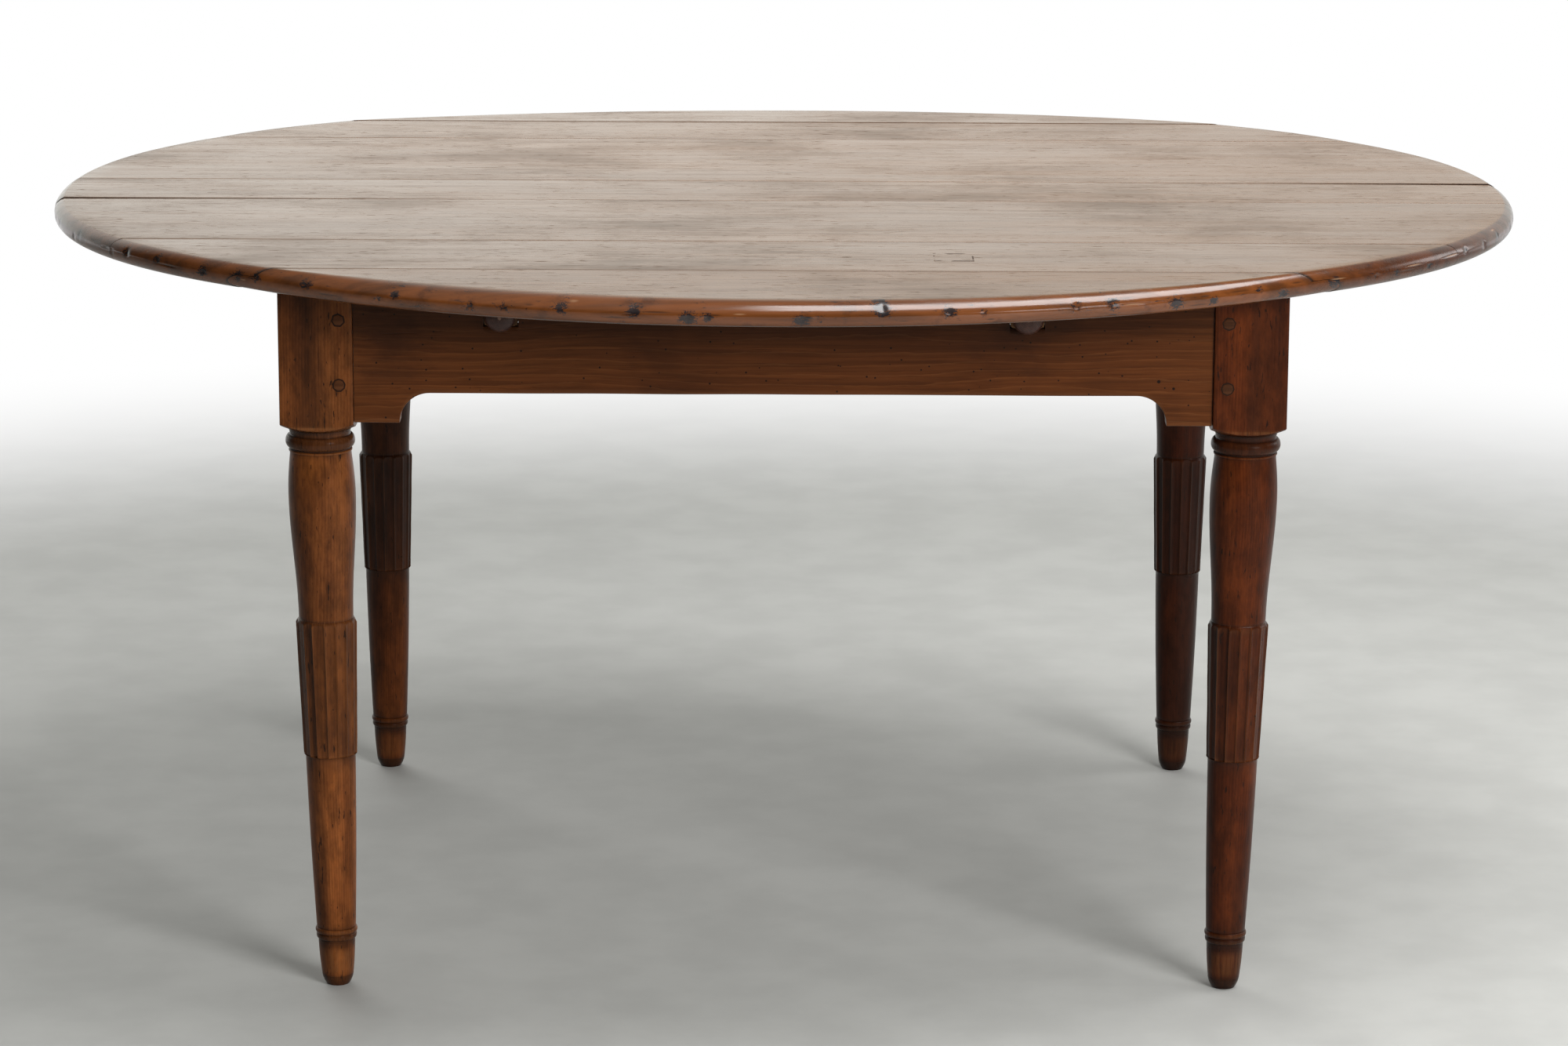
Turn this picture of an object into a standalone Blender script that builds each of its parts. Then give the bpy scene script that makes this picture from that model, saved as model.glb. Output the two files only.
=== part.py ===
"""Oval drop-leaf farmhouse table with turned legs, pegged aprons and leaves carried on pull-out slides.

Metres, +Z up. The floor is Z = 0 and the table stands centred on the origin, its length along X, its
front towards -Y. It is drawn with both leaves up, resting at their slight droop, and all slides home.
"""

import math

import bmesh
import bpy
from mathutils import Matrix

# Top
HEIGHT = 0.750
TOP_LENGTH = 1.536
TOP_DEPTH = 1.220
TOP_THICKNESS = 0.024
TOP_SQUARENESS = 2.10  # superellipse exponent, where 2 would be a plain ellipse
RIM_RADIUS = 0.010
BOARD_SEAMS = (-0.3065, -0.065, 0.059, 0.342)  # Y of the joints between the fixed boards

# Leaf joint: the leaf's rounded tongue tucks under a lip on the fixed top
LIP_THICKNESS = 0.009
TONGUE_FLAT = 0.008
LEAF_DROOP = math.radians(2.5)

# Frame
LEG_SPACING_X = 0.918
LEG_SPACING_Y = 0.798
LEG_BLOCK = 0.0735
BLOCK_LENGTH = 0.146
APRON_THICKNESS = 0.024
APRON_DEPTH = 0.107
APRON_SETBACK = 0.004
BRACKET_DROP = 0.030
BRACKET_FLAT = 0.0445
TENON_LENGTH = 0.030
TENON_THICKNESS = 0.010
TENON_SHOULDER = 0.012
PEG_RADIUS = 0.006
PEG_LENGTH = 0.042
PEG_INSET = 0.014
PEG_DROPS = (0.0335, 0.0985)
PEG_PROUD = 0.0004

# Turned leg, measured down from the block
SHOULDER_RISE = 0.008
RING_DROP = 0.015
RING_HALF_HEIGHT = 0.0065
RING_RADIUS = 0.0345
GROOVE_RADIUS = 0.0302
FILLET_DROP = 0.026
FILLET_HEIGHT = 0.003
FILLET_RADIUS = 0.0316
BULGE_DROP = 0.070
BULGE_RADIUS = 0.0334
WAIST_DROP = 0.1965
WAIST_RADIUS = 0.0272
COLLAR_LENGTH = 0.145
COLLAR_CHAMFER = 0.006
COLLAR_TOP_RADIUS = 0.0305
COLLAR_BOTTOM_RADIUS = 0.0268
FLUTE_COUNT = 16
FLUTE_DEPTH = 0.0016
FLUTE_SWEEP = 0.205  # cutter radius as a share of the collar radius beside it
SHAFT_RADIUS = 0.0250

# Turned leg, measured up from the floor
SHAFT_FOOT_RADIUS = 0.0197
ANKLE_TOP = 0.0607
ANKLE_BEAD = 0.0058
ANKLE_UPPER_RADIUS = 0.0212
ANKLE_LOWER_RADIUS = 0.0204
ANKLE_GROOVE_RADIUS = 0.0194
FOOT_TOP_RADIUS = 0.0185
FOOT_RADIUS = 0.0160
TIP_HEIGHT = 0.012
TIP_RADIUS = 0.0117

# The turned parts lean in a little below their square blocks, so the feet stand closer than the blocks
LEG_LEAN = {"front": math.radians(0.9), "back": math.radians(0.2)}

# Slides that carry the leaves
SLIDE_WIDTH = 0.034
SLIDE_HEIGHT = 0.035
SLIDE_TRAVEL = 0.130
SLIDE_PAIR_X = 0.258
SLIDE_PAIR_GAP = 0.004
SLIDE_TAIL = 0.016
STOP_RADIUS = 0.004
STOP_REACH = 0.012
KNOB_LENGTH = 0.023
KNOB_RADIUS = 0.0155
KNOB_NECK_RADIUS = 0.0085
KNOB_BASE_RADIUS = 0.0125
KNOB_DROP = 0.005  # the knob sits below the middle of the slide's end
SPIGOT_RADIUS = 0.0055
SPIGOT_LENGTH = 0.022
RAIL_THICKNESS = 0.025
RAIL_FOOT = 0.032
RAIL_STUB = 0.008

# Leaf hinges
HINGE_X = 0.350
HINGE_LENGTH = 0.060
HINGE_PLATE = 0.002
HINGE_LEAF_WIDTH = 0.040
KNUCKLE_RADIUS = 0.004
HINGE_PIN_RADIUS = 0.002
PIN_CLEARANCE = 0.0003
HINGE_KNOB_SPACE = 0.0035
HINGE_APRON_SPACE = 0.0015

# Clearances and facets
GAP = 0.0003
RUNNING_GAP = 0.0005
CUT_MARGIN = 0.005
TURNED_STEPS = 20
KNOB_STEPS = 14
ROD_STEPS = 12
FLUTE_STEPS = 8
TOP_STEPS = 96
ARC_STEPS = 6

# Places that follow from the sizes above
LEG_X = LEG_SPACING_X / 2
LEG_Y = LEG_SPACING_Y / 2
TOP_UNDER = HEIGHT - TOP_THICKNESS
FRAME_TOP = TOP_UNDER - GAP
BLOCK_BOTTOM = TOP_UNDER - BLOCK_LENGTH
APRON_FACE_X = LEG_X + LEG_BLOCK / 2 - APRON_SETBACK
APRON_FACE_Y = LEG_Y + LEG_BLOCK / 2 - APRON_SETBACK
TENON_HEIGHT = APRON_DEPTH + BRACKET_DROP - 2 * TENON_SHOULDER
TENON_MID_Z = FRAME_TOP - (APRON_DEPTH + BRACKET_DROP) / 2
PIN_Y = APRON_FACE_Y + KNOB_LENGTH + HINGE_KNOB_SPACE
SEAM_Y = PIN_Y + TONGUE_FLAT
COVE_RADIUS = TOP_THICKNESS - LIP_THICKNESS
SLIDE_REACH = APRON_FACE_Y + SLIDE_TRAVEL - PIN_Y
SLIDE_DROP = SLIDE_REACH * math.sin(LEAF_DROOP) + RUNNING_GAP
SLIDE_AXIS_Z = TOP_UNDER - SLIDE_DROP - SLIDE_HEIGHT / 2
NOTCH_DEPTH = SLIDE_DROP + SLIDE_HEIGHT
NOTCH_WIDTH = SLIDE_WIDTH + 2 * RUNNING_GAP
RAIL_DEPTH = NOTCH_DEPTH + RAIL_FOOT
STOP_Y = APRON_FACE_Y + RAIL_THICKNESS / 2 + SLIDE_TRAVEL + STOP_RADIUS + RUNNING_GAP
SLIDE_LENGTH = STOP_Y + STOP_RADIUS + SLIDE_TAIL
SLIDE_SHIFT = (SLIDE_WIDTH + SLIDE_PAIR_GAP) / 2
FRONT_SLIDE_X = {"left": -SLIDE_PAIR_X - SLIDE_SHIFT, "right": SLIDE_PAIR_X - SLIDE_SHIFT}
BACK_SLIDE_X = {"left": -SLIDE_PAIR_X + SLIDE_SHIFT, "right": SLIDE_PAIR_X + SLIDE_SHIFT}
SIDES = {"left": -1, "right": 1}
ENDS = {"front": -1, "back": 1}


def clear_scene():
    for obj in list(bpy.data.objects):
        bpy.data.objects.remove(obj)


def new_collection(name):
    collection = bpy.data.collections.new(name)
    bpy.context.scene.collection.children.link(collection)
    return collection


def make_material(name, colour, roughness, metallic=0.0):
    material = bpy.data.materials.new(name)
    material.use_nodes = True
    shader = material.node_tree.nodes["Principled BSDF"]
    shader.inputs["Base Color"].default_value = (*colour, 1.0)
    shader.inputs["Roughness"].default_value = roughness
    shader.inputs["Metallic"].default_value = metallic
    return material


clear_scene()
PARTS = new_collection("oval_drop_leaf_table")
CUTTERS = new_collection("cutters")
TOP_WOOD = make_material("waxed_top", (0.33, 0.17, 0.08), 0.30)
LEG_WOOD = make_material("turned_walnut", (0.30, 0.13, 0.05), 0.38)
APRON_WOOD = make_material("apron_walnut", (0.28, 0.13, 0.055), 0.42)
PEG_WOOD = make_material("oak_peg", (0.20, 0.09, 0.04), 0.50)
SLIDE_WOOD = make_material("slide_oak", (0.25, 0.13, 0.06), 0.55)
KNOB_WOOD = make_material("dark_knob", (0.12, 0.035, 0.025), 0.35)
HINGE_IRON = make_material("hinge_iron", (0.09, 0.08, 0.07), 0.55, 0.9)


def add_object(name, mesh, material, location=(0, 0, 0), parent=None):
    """One named sub-part, placed by its location, on the table or on the pivot that carries it."""
    obj = bpy.data.objects.new(name, mesh)
    obj.location = location
    obj.parent = parent
    if material.name not in mesh.materials:
        mesh.materials.append(material)
    PARTS.objects.link(obj)
    return obj


def add_pivot(name, location):
    pivot = bpy.data.objects.new(name, None)
    pivot.location = location
    pivot.empty_display_size = 0.03
    PARTS.objects.link(pivot)
    return pivot


def add_cutter(name, mesh, location=(0, 0, 0), parent=None):
    cutter = bpy.data.objects.new(name, mesh)
    cutter.location = location
    cutter.parent = parent
    cutter.hide_render = True
    cutter.display_type = "WIRE"
    CUTTERS.objects.link(cutter)
    return cutter


def add_boolean(obj, operation, cutter):
    modifier = obj.modifiers.new(cutter.name, "BOOLEAN")
    modifier.operation = operation
    modifier.solver = "EXACT"
    modifier.object = cutter


def mesh_from(name, form):
    mesh = bpy.data.meshes.new(name)
    form.to_mesh(mesh)
    form.free()
    return mesh


def put_box(form, size, centre):
    bmesh.ops.create_cube(form, matrix=Matrix.Translation(centre) @ Matrix.Diagonal((*size, 1)))


def put_rod(form, radius, length, centre, along, segments=ROD_STEPS):
    """A cylinder along X, Y or Z."""
    quarter = math.pi / 2
    turn = {"X": Matrix.Rotation(quarter, 4, "Y"), "Y": Matrix.Rotation(quarter, 4, "X"), "Z": Matrix()}
    bmesh.ops.create_cone(
        form, cap_ends=True, segments=segments, radius1=radius, radius2=radius, depth=length,
        matrix=Matrix.Translation(centre) @ turn[along],
    )


def box_mesh(name, size, centre=(0, 0, 0)):
    form = bmesh.new()
    put_box(form, size, centre)
    return mesh_from(name, form)


def rod_mesh(name, radius, length, along, segments=ROD_STEPS):
    form = bmesh.new()
    put_rod(form, radius, length, (0, 0, 0), along, segments)
    return mesh_from(name, form)


def arc_points(centre, radius, start, end):
    """Points along an arc, angles in degrees, both ends included."""
    turns = [math.radians(start + (end - start) * i / ARC_STEPS) for i in range(ARC_STEPS + 1)]
    return [(centre[0] + radius * math.cos(turn), centre[1] + radius * math.sin(turn)) for turn in turns]


def outline_mesh(name, points, depth, across, edge_radius=0.0):
    """A flat outline given a thickness, centred on its plane. across is the axis that the thickness takes."""
    curve = bpy.data.curves.new(name, "CURVE")
    curve.dimensions = "2D"
    curve.fill_mode = "BOTH"
    curve.extrude = depth / 2 - edge_radius
    curve.bevel_depth = edge_radius
    curve.bevel_resolution = 2
    spline = curve.splines.new("POLY")
    spline.points.add(len(points) - 1)
    for spot, (x, y) in zip(spline.points, points):
        spot.co = (x, y, 0, 1)
    spline.use_cyclic_u = True
    guide = bpy.data.objects.new(name, curve)
    CUTTERS.objects.link(guide)
    bpy.context.view_layer.update()
    mesh = bpy.data.meshes.new_from_object(guide.evaluated_get(bpy.context.evaluated_depsgraph_get()))
    bpy.data.objects.remove(guide)
    turn = {
        "X": Matrix(((0, 0, 1), (1, 0, 0), (0, 1, 0))).to_4x4(),
        "Y": Matrix.Rotation(math.pi / 2, 4, "X"),
        "Z": Matrix(),
    }
    form = bmesh.new()
    form.from_mesh(mesh)
    bmesh.ops.remove_doubles(form, verts=form.verts, dist=0.00001)
    bmesh.ops.transform(form, matrix=turn[across], verts=form.verts)
    bmesh.ops.recalc_face_normals(form, faces=form.faces)
    form.to_mesh(mesh)
    form.free()
    return mesh


def turned_mesh(name, profile):
    """The edge of a turned shape, as radius and height from its top down, for a Screw modifier."""
    mesh = bpy.data.meshes.new(name)
    points = [(radius, 0, height) for radius, height in profile]
    mesh.from_pydata(points, [(i, i + 1) for i in range(len(points) - 1)], [])
    return mesh


def add_screw(obj, steps):
    screw = obj.modifiers.new("turned", "SCREW")
    screw.steps = steps
    screw.render_steps = steps
    screw.use_merge_vertices = True
    screw.merge_threshold = 0.00001


def top_outline():
    """The oval as a superellipse, drawn inside by the radius of its rounded rim."""
    half_x = TOP_LENGTH / 2 - RIM_RADIUS
    half_y = TOP_DEPTH / 2 - RIM_RADIUS
    power = 2 / TOP_SQUARENESS
    points = []
    for i in range(TOP_STEPS):
        turn = 2 * math.pi * (i + 0.5) / TOP_STEPS
        cosine, sine = math.cos(turn), math.sin(turn)
        x = half_x * math.copysign(abs(cosine) ** power, cosine)
        y = half_y * math.copysign(abs(sine) ** power, sine)
        points.append((x, y))
    return points


def make_top():
    """Fixed boards and the two leaves, all cut from one rounded oval slab."""
    slab = outline_mesh("oval_slab", top_outline(), TOP_THICKNESS, "Z", RIM_RADIUS)
    middle = HEIGHT - TOP_THICKNESS / 2
    low, high = TOP_UNDER - CUT_MARGIN, HEIGHT + CUT_MARGIN
    length = TOP_LENGTH + 2 * CUT_MARGIN
    edges = (-SEAM_Y, *BOARD_SEAMS, SEAM_Y)
    for number, (near, far) in enumerate(zip(edges, edges[1:]), start=1):
        board = add_object(f"top_board_{number}", slab.copy(), TOP_WOOD, (0, 0, middle))
        near_side = lip_side(-1) if number == 1 else [(near + GAP / 2, low), (near + GAP / 2, high)]
        far_side = lip_side(1) if number == len(edges) - 1 else [(far - GAP / 2, low), (far - GAP / 2, high)]
        outline = [*near_side, *reversed(far_side)]
        shape = outline_mesh("board", outline, length, "X")
        add_boolean(board, "INTERSECT", add_cutter(f"board_cut_{number}", shape))
    for end, sign in ENDS.items():
        make_leaf(end, sign, slab, length)


def lip_side(sign):
    """Edge of the fixed top seen from its end, from below upwards: underside, cove, lip, top."""
    cove = arc_points((0, TOP_UNDER), COVE_RADIUS, 180, 90)
    side = [(-COVE_RADIUS, TOP_UNDER - CUT_MARGIN), *cove, (TONGUE_FLAT, TOP_UNDER + COVE_RADIUS)]
    side.append((TONGUE_FLAT, HEIGHT + CUT_MARGIN))
    return [(sign * (PIN_Y + out), z) for out, z in side]


def make_leaf(end, sign, slab, length):
    """One leaf with its hinge line at its parent pivot, tipped down by its droop."""
    pivot = add_pivot(f"{end}_leaf_pivot", (0, sign * PIN_Y, TOP_UNDER))
    radius = COVE_RADIUS - GAP
    tongue = [(-radius, -CUT_MARGIN), *arc_points((0, 0), radius, 180, 90)]
    shoulder = [(TONGUE_FLAT + GAP, radius), (TONGUE_FLAT + GAP, TOP_THICKNESS + CUT_MARGIN)]
    reach = TOP_DEPTH / 2 - PIN_Y + CUT_MARGIN
    outer = [(reach, TOP_THICKNESS + CUT_MARGIN), (reach, -CUT_MARGIN)]
    outline = [(sign * out, z) for out, z in (*tongue, *shoulder, *outer)]
    to_pivot = (0, -sign * PIN_Y, TOP_THICKNESS / 2)
    leaf = add_object(f"{end}_leaf", slab.copy(), TOP_WOOD, to_pivot, pivot)
    shape = outline_mesh("leaf", outline, length, "X")
    add_boolean(leaf, "INTERSECT", add_cutter(f"{end}_leaf_cut", shape, parent=pivot))
    grooves = bmesh.new()
    for side in SIDES.values():
        centre = (side * HINGE_X, 0, 0)
        put_rod(grooves, KNUCKLE_RADIUS + RUNNING_GAP, HINGE_LENGTH + 2 * RUNNING_GAP, centre, "X")
    groove_cutter = add_cutter(f"{end}_leaf_grooves", mesh_from("grooves", grooves), parent=pivot)
    add_boolean(leaf, "DIFFERENCE", groove_cutter)
    for side_name, side in SIDES.items():
        make_hinge(f"{end}_{side_name}", side * HINGE_X, sign, pivot)
    pivot.rotation_euler.x = -sign * LEAF_DROOP


def make_hinge(place, x, sign, pivot):
    """A butt hinge: plate under the fixed top, plate under the leaf, and the pin through both."""
    plate_z = -GAP - HINGE_PLATE / 2
    inner = HINGE_PIN_RADIUS + PIN_CLEARANCE + HINGE_PLATE / 2 - GAP
    third = HINGE_LENGTH / 3
    fixed_width = PIN_Y - APRON_FACE_Y - HINGE_APRON_SPACE
    at_pin = (x, sign * PIN_Y, TOP_UNDER)
    outer_knuckles = [(-third, third - RUNNING_GAP), (third, third - RUNNING_GAP)]
    leaf_knuckles = [(0, third - RUNNING_GAP)]
    for kind, way, width, own, other in (
        ("fixed", -sign, fixed_width, outer_knuckles, leaf_knuckles),
        ("leaf", sign, HINGE_LEAF_WIDTH, leaf_knuckles, outer_knuckles),
    ):
        size = (HINGE_LENGTH, width - inner, HINGE_PLATE)
        plate_mesh = box_mesh("hinge_plate", size, (0, way * (width + inner) / 2, plate_z))
        if kind == "fixed":
            carrier, location = None, at_pin
        else:
            carrier, location = pivot, (x, 0, 0)
        plate = add_object(f"hinge_{kind}_plate_{place}", plate_mesh, HINGE_IRON, location, carrier)
        room = [(centre, third + RUNNING_GAP) for centre, _ in other]
        cuts = (
            ("clear", "DIFFERENCE", KNUCKLE_RADIUS + RUNNING_GAP, room),
            ("knuckle", "UNION", KNUCKLE_RADIUS, own),
            ("bore", "DIFFERENCE", HINGE_PIN_RADIUS + PIN_CLEARANCE, [(0, HINGE_LENGTH + CUT_MARGIN)]),
        )
        for label, operation, radius, rods in cuts:
            form = bmesh.new()
            for centre, length in rods:
                put_rod(form, radius, length, (centre, 0, 0), "X")
            cutter = add_cutter(f"hinge_{kind}_{label}_{place}", mesh_from(label, form), location, carrier)
            add_boolean(plate, operation, cutter)
    pin = rod_mesh("hinge_pin", HINGE_PIN_RADIUS, HINGE_LENGTH, "X")
    add_object(f"hinge_pin_{place}", pin, HINGE_IRON, at_pin)


def leg_profile():
    """Turned outline as radius and height, from above the block to below the floor, to be cut to length."""
    blank = LEG_BLOCK * 0.75  # clears the corners of the square block
    ring_z = BLOCK_BOTTOM - RING_DROP
    fillet_z = BLOCK_BOTTOM - FILLET_DROP
    collar_top = BLOCK_BOTTOM - WAIST_DROP - COLLAR_CHAMFER
    collar_bottom = collar_top - COLLAR_LENGTH + COLLAR_CHAMFER
    bead = ANKLE_BEAD
    crown = FRAME_TOP + CUT_MARGIN
    shoulder = [(0, crown), (blank, crown), (blank, BLOCK_BOTTOM + SHOULDER_RISE)]
    shoulder += [(LEG_BLOCK / 2, BLOCK_BOTTOM), (GROOVE_RADIUS, ring_z + RING_HALF_HEIGHT)]
    swell = RING_RADIUS - GROOVE_RADIUS
    ring = [(GROOVE_RADIUS + 0.8 * swell, ring_z + 0.6 * RING_HALF_HEIGHT), (RING_RADIUS, ring_z)]
    ring += [(GROOVE_RADIUS + 0.8 * swell, ring_z - 0.6 * RING_HALF_HEIGHT)]
    ring += [(GROOVE_RADIUS, ring_z - RING_HALF_HEIGHT), (GROOVE_RADIUS, fillet_z + FILLET_HEIGHT)]
    fillet = [(FILLET_RADIUS, fillet_z + FILLET_HEIGHT), (FILLET_RADIUS, fillet_z), (GROOVE_RADIUS, fillet_z)]
    vase = vase_points(fillet_z)
    collar = [(COLLAR_TOP_RADIUS, collar_top), (COLLAR_BOTTOM_RADIUS, collar_bottom)]
    shaft = [(SHAFT_RADIUS, collar_bottom), (SHAFT_FOOT_RADIUS, ANKLE_TOP)]
    ankle = [(ANKLE_UPPER_RADIUS, ANKLE_TOP - 0.3 * bead), (ANKLE_UPPER_RADIUS, ANKLE_TOP - 0.7 * bead)]
    ankle += [(ANKLE_GROOVE_RADIUS, ANKLE_TOP - bead), (ANKLE_LOWER_RADIUS, ANKLE_TOP - 1.3 * bead)]
    ankle += [(ANKLE_LOWER_RADIUS, ANKLE_TOP - 1.7 * bead), (FOOT_TOP_RADIUS, ANKLE_TOP - 2.1 * bead)]
    foot = [(FOOT_RADIUS, TIP_HEIGHT), (TIP_RADIUS + 0.75 * (FOOT_RADIUS - TIP_RADIUS), 0.35 * TIP_HEIGHT)]
    foot += [(TIP_RADIUS, 0), (TIP_RADIUS, -CUT_MARGIN), (0, -CUT_MARGIN)]
    return [*shoulder, *ring, *fillet, *vase, *collar, *shaft, *ankle, *foot]


def vase_points(top):
    """The long swelling below the rings: quick rise to the bulge, slow fall to the waist above the collar."""
    bulge_z = BLOCK_BOTTOM - BULGE_DROP
    waist_z = BLOCK_BOTTOM - WAIST_DROP
    points = []
    for share in (0.5, 1.0):
        radius = GROOVE_RADIUS + (BULGE_RADIUS - GROOVE_RADIUS) * math.sin(share * math.pi / 2)
        points.append((radius, top + (bulge_z - top) * share))
    for share in (0.33, 0.66, 1.0):
        radius = WAIST_RADIUS + (BULGE_RADIUS - WAIST_RADIUS) * (1 + math.cos(share * math.pi)) / 2
        points.append((radius, bulge_z + (waist_z - bulge_z) * share))
    return points


def flute_cutter():
    """Slim cones round the collar, leaning with its taper, that scoop the flutes."""
    top = BLOCK_BOTTOM - WAIST_DROP - COLLAR_CHAMFER
    bottom = top - COLLAR_LENGTH + COLLAR_CHAMFER
    lower = FLUTE_SWEEP * COLLAR_BOTTOM_RADIUS
    upper = FLUTE_SWEEP * COLLAR_TOP_RADIUS
    near = COLLAR_BOTTOM_RADIUS - FLUTE_DEPTH + lower
    far = COLLAR_TOP_RADIUS - FLUTE_DEPTH + upper
    lean = math.atan2(far - near, top - bottom)
    form = bmesh.new()
    for i in range(FLUTE_COUNT):
        spin = Matrix.Rotation(2 * math.pi * i / FLUTE_COUNT, 4, "Z")
        seat = Matrix.Translation(((near + far) / 2, 0, (top + bottom) / 2)) @ Matrix.Rotation(lean, 4, "Y")
        bmesh.ops.create_cone(
            form, cap_ends=True, segments=FLUTE_STEPS, radius1=lower, radius2=upper,
            depth=top - bottom + 2 * COLLAR_CHAMFER, matrix=spin @ seat,
        )
    return mesh_from("flutes", form)


def make_leg(end, side, flutes):
    """A square block turned below into rings, vase, fluted collar and foot, mortised for two aprons."""
    out_x, out_y = SIDES[side], ENDS[end]
    place = f"{end}_{side}"
    at = (out_x * LEG_X, out_y * LEG_Y, 0)
    pivot = add_pivot(f"leg_pivot_{place}", (at[0], at[1], BLOCK_BOTTOM))
    pivot.rotation_euler.y = out_x * LEG_LEAN[end]
    hung = (0, 0, -BLOCK_BOTTOM)
    leg = add_object(f"leg_{place}", turned_mesh("leg", leg_profile()), LEG_WOOD, hung, pivot)
    add_screw(leg, TURNED_STEPS)
    square = box_mesh("square", (LEG_BLOCK, LEG_BLOCK, FRAME_TOP), (0, 0, FRAME_TOP / 2))
    add_boolean(leg, "INTERSECT", add_cutter(f"square_{place}", square, at))
    add_boolean(leg, "DIFFERENCE", add_cutter(f"flutes_{place}", flutes, hung, pivot))
    half = LEG_BLOCK / 2
    sunk = half - APRON_SETBACK - APRON_THICKNESS / 2
    deep = TENON_LENGTH + GAP + CUT_MARGIN
    reach = half - TENON_LENGTH / 2 - GAP / 2 + CUT_MARGIN / 2
    width = TENON_THICKNESS + 2 * GAP
    high, mid_z = TENON_HEIGHT + 2 * GAP, TENON_MID_Z
    mortises = bmesh.new()
    put_box(mortises, (deep, width, high), (-out_x * reach, out_y * sunk, mid_z))
    put_box(mortises, (width, deep, high), (out_x * sunk, -out_y * reach, mid_z))
    add_boolean(leg, "DIFFERENCE", add_cutter(f"mortises_{place}", mesh_from("mortises", mortises), at))
    holes = bmesh.new()
    bore, depth = PEG_RADIUS + GAP, PEG_LENGTH + GAP + CUT_MARGIN
    along = half - PEG_INSET
    start = half - (PEG_LENGTH + GAP) / 2 + CUT_MARGIN / 2
    for drop in PEG_DROPS:
        put_rod(holes, bore, depth, (-out_x * along, out_y * start, FRAME_TOP - drop), "Y")
        put_rod(holes, bore, depth, (out_x * start, -out_y * along, FRAME_TOP - drop), "X")
    add_boolean(leg, "DIFFERENCE", add_cutter(f"peg_holes_{place}", mesh_from("peg_holes", holes), at))


def make_pegs():
    """Oak pegs, driven through each leg's outer faces across the tenons."""
    peg = rod_mesh("peg", PEG_RADIUS, PEG_LENGTH + PEG_PROUD, "Y")
    half = LEG_BLOCK / 2
    along = half - PEG_INSET
    start = half + PEG_PROUD - (PEG_LENGTH + PEG_PROUD) / 2
    for end, out_y in ENDS.items():
        for side, out_x in SIDES.items():
            for row, drop in zip(("upper", "lower"), PEG_DROPS):
                z = FRAME_TOP - drop
                lengthwise = (out_x * (LEG_X - along), out_y * (LEG_Y + start), z)
                add_object(f"peg_{end}_apron_{side}_{row}", peg, PEG_WOOD, lengthwise)
                crosswise = (out_x * (LEG_X + start), out_y * (LEG_Y - along), z)
                turned = add_object(f"peg_{side}_apron_{end}_{row}", peg, PEG_WOOD, crosswise)
                turned.rotation_euler.z = math.pi / 2


def apron_outline(length, notches):
    """An apron seen square on, from its middle top: slide notches above, coved brackets below."""
    half = length / 2
    floor = -APRON_DEPTH - BRACKET_DROP
    top = [(-half, 0)]
    for x in sorted(notches):
        left, right = x - NOTCH_WIDTH / 2, x + NOTCH_WIDTH / 2
        top += [(left, 0), (left, -NOTCH_DEPTH), (right, -NOTCH_DEPTH), (right, 0)]
    top.append((half, 0))
    inner = half - BRACKET_FLAT
    right_cove = arc_points((inner - BRACKET_DROP, floor), BRACKET_DROP, 0, 90)
    left_cove = [(-x, z) for x, z in reversed(right_cove)]
    return [*top, (half, floor), *right_cove, *left_cove, (-half, floor)]


def make_apron(name, length, notches, centre, along):
    """An apron with its two tenons, bored for the pegs."""
    lengthwise = along == "X"
    shape = outline_mesh("apron", apron_outline(length, notches), APRON_THICKNESS, "Y")
    apron = add_object(name, shape, APRON_WOOD, (*centre, FRAME_TOP))
    if not lengthwise:
        apron.rotation_euler.z = math.pi / 2
    tenons, holes = bmesh.new(), bmesh.new()
    for sign in SIDES.values():
        reach = length / 2 + (TENON_LENGTH - CUT_MARGIN) / 2
        size = (TENON_LENGTH + CUT_MARGIN, TENON_THICKNESS, TENON_HEIGHT)
        put_box(tenons, size, (sign * reach, 0, TENON_MID_Z - FRAME_TOP))
        for drop in PEG_DROPS:
            hole = (sign * (length / 2 + GAP + PEG_INSET), 0, -drop)
            put_rod(holes, PEG_RADIUS + GAP, 2 * APRON_THICKNESS, hole, "Y")
    for label, operation, form in (("tenons", "UNION", tenons), ("peg_holes", "DIFFERENCE", holes)):
        cutter = add_cutter(f"{name}_{label}", mesh_from(label, form), apron.location)
        cutter.rotation_euler = apron.rotation_euler
        add_boolean(apron, operation, cutter)
    return apron


def make_frame():
    flutes = flute_cutter()
    for end in ENDS:
        for side in SIDES:
            make_leg(end, side, flutes)
    make_pegs()
    middle_x = APRON_FACE_X - APRON_THICKNESS / 2
    middle_y = APRON_FACE_Y - APRON_THICKNESS / 2
    long = LEG_SPACING_X - LEG_BLOCK - 2 * GAP
    short = LEG_SPACING_Y - LEG_BLOCK - 2 * GAP
    make_apron("front_apron", long, FRONT_SLIDE_X.values(), (0, -middle_y), "X")
    make_apron("back_apron", long, BACK_SLIDE_X.values(), (0, middle_y), "X")
    rail_half = APRON_FACE_X - APRON_THICKNESS + RAIL_STUB
    housing = (2 * (RAIL_STUB + GAP), RAIL_THICKNESS + 2 * GAP, 2 * (RAIL_DEPTH + GAP))
    for side, sign in SIDES.items():
        apron = make_apron(f"{side}_apron", short, (), (sign * middle_x, 0), "Y")
        at = (sign * (rail_half - RAIL_STUB), 0, FRAME_TOP)
        add_boolean(apron, "DIFFERENCE", add_cutter(f"{side}_rail_housing", box_mesh("housing", housing), at))
    make_middle_rail(rail_half)


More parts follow.
